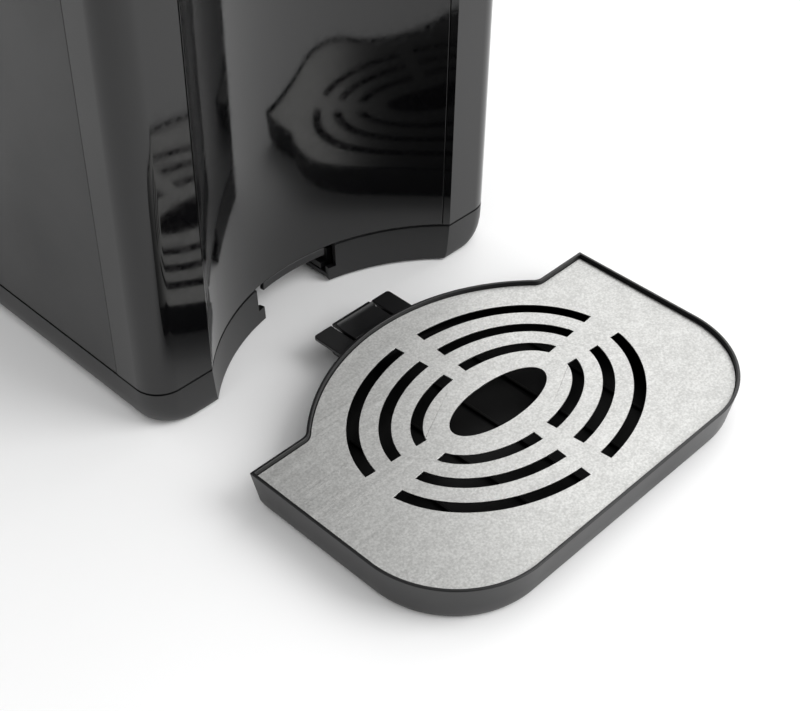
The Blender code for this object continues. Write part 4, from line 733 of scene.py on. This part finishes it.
rings += [(neck_inner, floor_z + TANK_FLOOR), (neck_inner, tank_low.z), (neck_outer, tank_low.z),
          (neck_outer, floor_z), rings[0]]
made("tank_vessel", woven(level_rings(*rings)), smoked_clear, "tank",
     ("water_tank",), crease=50)
for side, name in ((-1, "tank_lug_left"), (1, "tank_lug_right")):
    x = sorted((side * LUG_IN, side * LUG_OUT))
    lug = [(x[0], hinge_y - LUG_FRONT), (x[1], hinge_y - LUG_FRONT), (x[1], hinge_y + LUG_BACK),
           (x[0], hinge_y + LUG_BACK)]
    made(name, prism(np.array(lug), rim_z - 0.0095, lid_high.z - 0.0002), smoked_clear, "tank",
         edge=0.0006, steps=3)
x, back, corner = lid_high.x, lid_high.y, REAR_CORNER - LID_INSET
notch = [(LUG_OUT + NOTCH_PLAY, back), (LUG_OUT + NOTCH_PLAY, hinge_y - NOTCH_DEPTH),
         (LUG_IN - NOTCH_PLAY, hinge_y - NOTCH_DEPTH), (LUG_IN - NOTCH_PLAY, back)]
plan = np.concatenate([[(-x, lid_low.y), (x, lid_low.y)],
                       bend((x - corner, back - corner), corner, 0.0, math.pi / 2, 20), notch,
                       np.array(notch)[::-1] * (-1, 1),
                       bend((corner - x, back - corner), corner, math.pi / 2, math.pi, 20)])
made("lid_cover", prism(plan, lid_low.z, lid_high.z), satin_abs, "lid",
     ("tank_lid",), edge=0.0009, steps=3)
dressed(zinc_steel, "lid_hinge_pin")
dressed(nylon, "tank_valve", "tank_strainer")
VALVE_TURNS, VALVE_LIFT = 4, 0.0030
sprung("valve_spring_wire", "tank_valve_spring", VALVE_TURNS, 2, "tank")

# ---------------------------------------------------------------- drip tray
# One satin ABS moulding: a shallow drafted bowl with a thin rim, a ledge that carries the steel plate,
# and on its curved back the tab that docks into the base.
TRAY_DEPTH, TRAY_CORNER, TRAY_NECK, TRAY_HEEL = 0.0994, 0.0408, 0.0030, 0.0015
ARC_HALF, ARC_RISE = 0.0632, 0.0257
RIM, LEDGE, LEDGE_Z, BOWL_Z, BOWL_ROUND, RIM_ROUND = 0.0027, 0.0031, 0.0141, 0.0025, 0.0020, 0.0004
TRAY_MARGIN, TRAY_DRAFT, TRAY_FOOT = 0.0014, 0.0034, 0.0058

tray_low, tray_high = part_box("drip_tray")
front_y = tray_low.y - TRAY_MARGIN
shoulder_y = front_y + TRAY_DEPTH
arc_radius = (ARC_HALF ** 2 + ARC_RISE ** 2) / (2 * ARC_RISE)
arc_centre = (0.0, shoulder_y + ARC_RISE - arc_radius)


def tray_plan(inset=0.0):
    """The tray seen from above, anticlockwise from the middle of its front, moved inwards by inset.

    Arcs for the front corner, the small heel, the hollow neck and the curved back, joined straight.
    """
    x, front, heel = half - inset, front_y + inset, max(TRAY_HEEL - inset, 0.0003)
    shoulder, neck, radius = shoulder_y - inset, TRAY_NECK + inset, arc_radius - inset
    rise = shoulder + neck - arc_centre[1]
    neck_x = math.sqrt((radius + neck) ** 2 - rise ** 2)
    turn = math.atan2(rise, neck_x)
    right = np.concatenate([
        np.column_stack([np.linspace(0.0, half - TRAY_CORNER, 9)[:-1], np.full(8, front)]),
        bend((half - TRAY_CORNER, front_y + TRAY_CORNER), TRAY_CORNER - inset, -math.pi / 2, 0.0, 40),
        np.column_stack([np.full(9, x), np.linspace(front_y + TRAY_CORNER, shoulder - heel, 11)[1:-1]]),
        bend((x - heel, shoulder - heel), heel, 0.0, math.pi / 2, 8),
        np.column_stack([np.linspace(x - heel, neck_x, 6)[1:-1], np.full(4, shoulder)]),
        bend((neck_x, shoulder + neck), neck, -math.pi / 2, turn - math.pi, 10),
        bend(arc_centre, radius, turn, math.pi / 2, 60)[1:]])
    return np.concatenate([right, right[-2:0:-1] * (-1, 1)])


# Bowl ABS with painted shade: the satin black of the bowl's floor and ribs is darkened to near black, with a
# weak specular, for the shade under the plate, where light gets in only through the slots. The floor is
# coarsely spark-eroded at about 0.6 mm so that water spreads.
shaded_bowl_abs = mottled("painted_shade_bowl_abs", 1600.0, 3.0, ("#040404", "#080808"), (0.6,), relief=(0.5, 0.00006),
                   IOR=1.28)

top, bow = tray_high.z, np.linspace(0.0, math.pi / 2, 5)
rings = [(tray_plan(TRAY_FOOT), tray_low.z), (tray_plan(0.0048), tray_low.z + 0.0004),
         (tray_plan(0.0043), tray_low.z + 0.0012), (tray_plan(0.0038), tray_low.z + 0.0023)]
rings += [(tray_plan(TRAY_DRAFT + f * (TRAY_MARGIN - TRAY_DRAFT)), 0.0035 + f * (top - RIM_ROUND - 0.0035))
          for f in (0, 0.33, 0.66, 0.995)]
rings += [(tray_plan(TRAY_MARGIN + RIM_ROUND * (1 - math.cos(a))), top - RIM_ROUND * (1 - math.sin(a)))
          for a in bow]
rings += [(tray_plan(RIM - RIM_ROUND * (1 - math.sin(a))), top - RIM_ROUND * (1 - math.cos(a))) for a in bow]
rings += [(tray_plan(RIM), LEDGE_Z + 0.0002), (tray_plan(RIM + 0.0002), LEDGE_Z),
          (tray_plan(RIM + LEDGE - 0.0003), LEDGE_Z), (tray_plan(RIM + LEDGE), LEDGE_Z - 0.0003)]
rings += [(tray_plan(RIM + LEDGE + BOWL_ROUND * (1 - math.cos(a))), BOWL_Z + BOWL_ROUND * (1 - math.sin(a)))
          for a in bow]
tray = made("tray_moulding", woven(level_rings(*rings), caps=(0, 1)), satin_abs, "tray",
            ("drip_tray",), crease=50)
tray.data.materials.append(shaded_bowl_abs)
# The faces marked here, the bowl's wall below the ledge and its floor, take the near-black ABS: painted
# shade.
polished = np.zeros(len(tray.data.polygons), np.int32)
polished[-2 - len(bow) * len(rings[0][0]):] = 1
polished[-2] = 0
tray.data.polygons.foreach_set("material_index", polished)
# The ribs on the bowl's floor are in the same near-black ABS: painted shade.
RIB_HALF, RIB_HEIGHT, RIB_PITCH = 0.0006, 0.0012, 0.0220
for i in range(5):
    x = (i - 2) * RIB_PITCH
    rib = round_block(RIB_HALF, front_y + 0.020, shoulder_y - 0.004, 0.0005, 3) + (x, 0.0)
    made(f"bowl_rib_{i + 1}", prism(rib, BOWL_Z - 0.0002, BOWL_Z + RIB_HEIGHT), shaded_bowl_abs, "tray",
         edge=0.0002)

# ---------------------------------------------------------------- tray tab and latch finger
# A flat flange with a hollow body under it, cut on both sides of a springy finger. The finger's ridge
# snaps behind the catch, and its slots leave it free to bend.
FLANGE_SHEET, FLANGE_HALF, FLANGE_CORNER, FINGER_CLEAR = 0.0016, 0.0202, 0.0014, 0.0110
TAB_BODY_HALF, TAB_BODY_REACH, TAB_BODY_CORNER, TAB_BODY_ROOT = 0.0162, 0.0115, 0.0045, 0.006
TAB_BODY_Z, BEND_ROOM = 0.0040, 0.0018
FLANGE_TOP, FINGER_HALF, FINGER_GAP, RIDGE = 0.0117, 0.0098, 0.0003, 0.0010

finger_low, finger_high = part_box("tray_latch")
crest, tab_back, root_y = shoulder_y + ARC_RISE, tray_high.y, finger_low.y - FINGER_GAP
reach = math.asin(FLANGE_HALF / (arc_radius - 0.0015))
flange = np.concatenate([
    bend(arc_centre, arc_radius - 0.0015, math.pi / 2 + reach, math.pi / 2 - reach, 24),
    bend((FLANGE_HALF - FLANGE_CORNER, tab_back - FLANGE_CORNER), FLANGE_CORNER, 0.0, math.pi / 2, 8),
    [(FINGER_CLEAR, tab_back), (FINGER_CLEAR, root_y), (-FINGER_CLEAR, root_y), (-FINGER_CLEAR, tab_back)],
    bend((FLANGE_CORNER - FLANGE_HALF, tab_back - FLANGE_CORNER), FLANGE_CORNER, math.pi / 2, math.pi, 8)])
made("tab_flange", prism(flange, FLANGE_TOP - FLANGE_SHEET, FLANGE_TOP), satin_abs, "tray",
     edge=0.0003, steps=3)
body_top = FLANGE_TOP - FLANGE_SHEET - BEND_ROOM
tab_body = round_block(TAB_BODY_HALF, crest - TAB_BODY_ROOT, crest + TAB_BODY_REACH, TAB_BODY_CORNER, 16)
made("tab_body", prism(tab_body, TAB_BODY_Z, body_top), satin_abs, "tray",
     edge=0.0005, steps=3)
right = tab_body[12:29]
cheek = np.concatenate([[(FINGER_CLEAR, crest - TAB_BODY_ROOT)], right[right[:, 0] > FINGER_CLEAR],
                        [(FINGER_CLEAR, crest + TAB_BODY_REACH)]])
for name, outline in (("tab_cheek_right", cheek), ("tab_cheek_left", cheek[::-1] * (-1, 1))):
    made(name, prism(outline, body_top - 0.0006, FLANGE_TOP - FLANGE_SHEET + 0.0002), satin_abs, "tray")
under, foot = finger_low.z, finger_low.y
ridge_y = tab_back - 0.0017
side_view = np.concatenate([
    [(foot, under), (finger_high.y - 0.0005, under), (finger_high.y, under + 0.0005),
     (finger_high.y, FLANGE_TOP - 0.0004), (finger_high.y - 0.0004, FLANGE_TOP),
     (ridge_y + 0.0006, FLANGE_TOP)],
    bend((ridge_y, FLANGE_TOP + RIDGE - 0.0004), 0.0004, 0.3, math.pi - 0.6, 7),
    [(ridge_y - 0.0017, FLANGE_TOP), (foot, FLANGE_TOP)]])
grid = np.stack([np.column_stack([np.full(len(side_view), x), side_view])
                 for x in (-FINGER_HALF, FINGER_HALF)])
made("latch_finger", woven(grid, caps=(0, 1)), satin_abs, "latch",
     ("tray_latch",), edge=0.0002)

# ---------------------------------------------------------------- drip plate
# A 0.6 mm stainless sheet, brushed along the tray and punched with an oval hole and three broken rings
# of slots. It drops into the tray's seat and lifts out for washing.
PLATE_RADII, RING_RADII, RING_PITCH, RINGS = (0.0240, 0.0098), (0.0342, 0.0195), 0.0115, 3
SLOT_WIDTH, SPOKE_X_HALF, SPOKE_Y_HALF, SPOKE_FLARE = 0.0045, 0.0019, 0.0017, 0.08
PATTERN_DEPTH, PLATE_INSET, PUNCH_EDGE = 0.0361, 0.0030, 0.00015

plate_low, plate_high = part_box("drip_plate")
pattern_y = shoulder_y - PATTERN_DEPTH


def slot_arc(radii, count):
    """A quarter of an ellipse between two spokes, which widen a little with the ring's size."""
    long, short = radii
    start = math.asin((SPOKE_Y_HALF + SPOKE_FLARE * long) / short)
    end = math.pi / 2 - math.asin((SPOKE_X_HALF + SPOKE_FLARE * short) / long)
    angle = np.linspace(start, end, count)
    return np.column_stack([long * np.cos(angle), short * np.sin(angle)])


turn = np.linspace(0.0, 2 * math.pi, 97)[:-1]
outlines = [tray_plan(PLATE_INSET), np.column_stack([PLATE_RADII[0] * np.cos(turn),
                                                     pattern_y + PLATE_RADII[1] * np.sin(turn)])]
for ring in range(RINGS):
    inner = (RING_RADII[0] + ring * RING_PITCH, RING_RADII[1] + ring * RING_PITCH)
    outer = (inner[0] + SLOT_WIDTH, inner[1] + SLOT_WIDTH)
    slot = np.concatenate([slot_arc(inner, 48), slot_arc(outer, 48)[::-1]])
    outlines += [slot * (along, away) + (0.0, pattern_y) for along in (-1, 1) for away in (-1, 1)]

# Brushed stainless: bands run along X, drawn 1 mm wide where the real scratches are far finer, over
# flecks of about 0.8 mm. They smear the light across the plate into a soft, even silver.
brushed_steel, tree, shader, place = new_finish("brushed_stainless", "#c4c4c2", 0.5, Metallic=1.0,
                                                 Anisotropic=0.8)
combed = knot(tree, "ShaderNodeMapping", {"Scale": (14.0, 1100.0, 14.0)}, {"Vector": place})
scratch = knot(tree, "ShaderNodeTexNoise", {"Scale": 1.0, "Detail": 4.0},
               {"Vector": combed.outputs["Vector"]})
cloud = knot(tree, "ShaderNodeTexNoise", {"Scale": 140.0, "Detail": 2.0}, {"Vector": place})
speck = knot(tree, "ShaderNodeTexNoise", {"Scale": 1300.0, "Detail": 2.0}, {"Vector": place})
fleck = knot(tree, "ShaderNodeMath", {1: 3.5}, {0: speck.outputs["Fac"], 2: cloud.outputs["Fac"]},
             operation="MULTIPLY_ADD")
blend = knot(tree, "ShaderNodeMapRange", {"From Min": 1.55, "From Max": 2.95},
             {"Value": fleck.outputs["Value"]})
shade = knot(tree, "ShaderNodeMix", {"A": tone("#b6b6b4"), "B": tone("#d2d2d0")},
             {"Factor": blend.outputs["Result"]}, data_type="RGBA")
rough = knot(tree, "ShaderNodeMapRange", {"From Min": 0.3, "From Max": 0.7, "To Min": 0.46, "To Max": 0.56},
             {"Value": scratch.outputs["Fac"]})
dent = knot(tree, "ShaderNodeBump", {"Strength": 0.2, "Distance": 0.00002},
            {"Height": scratch.outputs["Fac"]})
grain_way = knot(tree, "ShaderNodeCombineXYZ", {"Y": 1.0})
tree.links.new(shade.outputs["Result"], shader.inputs["Base Color"])
tree.links.new(rough.outputs["Result"], shader.inputs["Roughness"])
tree.links.new(dent.outputs["Normal"], shader.inputs["Normal"])
tree.links.new(grain_way.outputs["Vector"], shader.inputs["Tangent"])
made("slotted_plate", pierced(outlines, plate_high.z), brushed_steel, "plate",
     ("drip_plate",), wall=plate_high.z - plate_low.z, edge=PUNCH_EDGE)
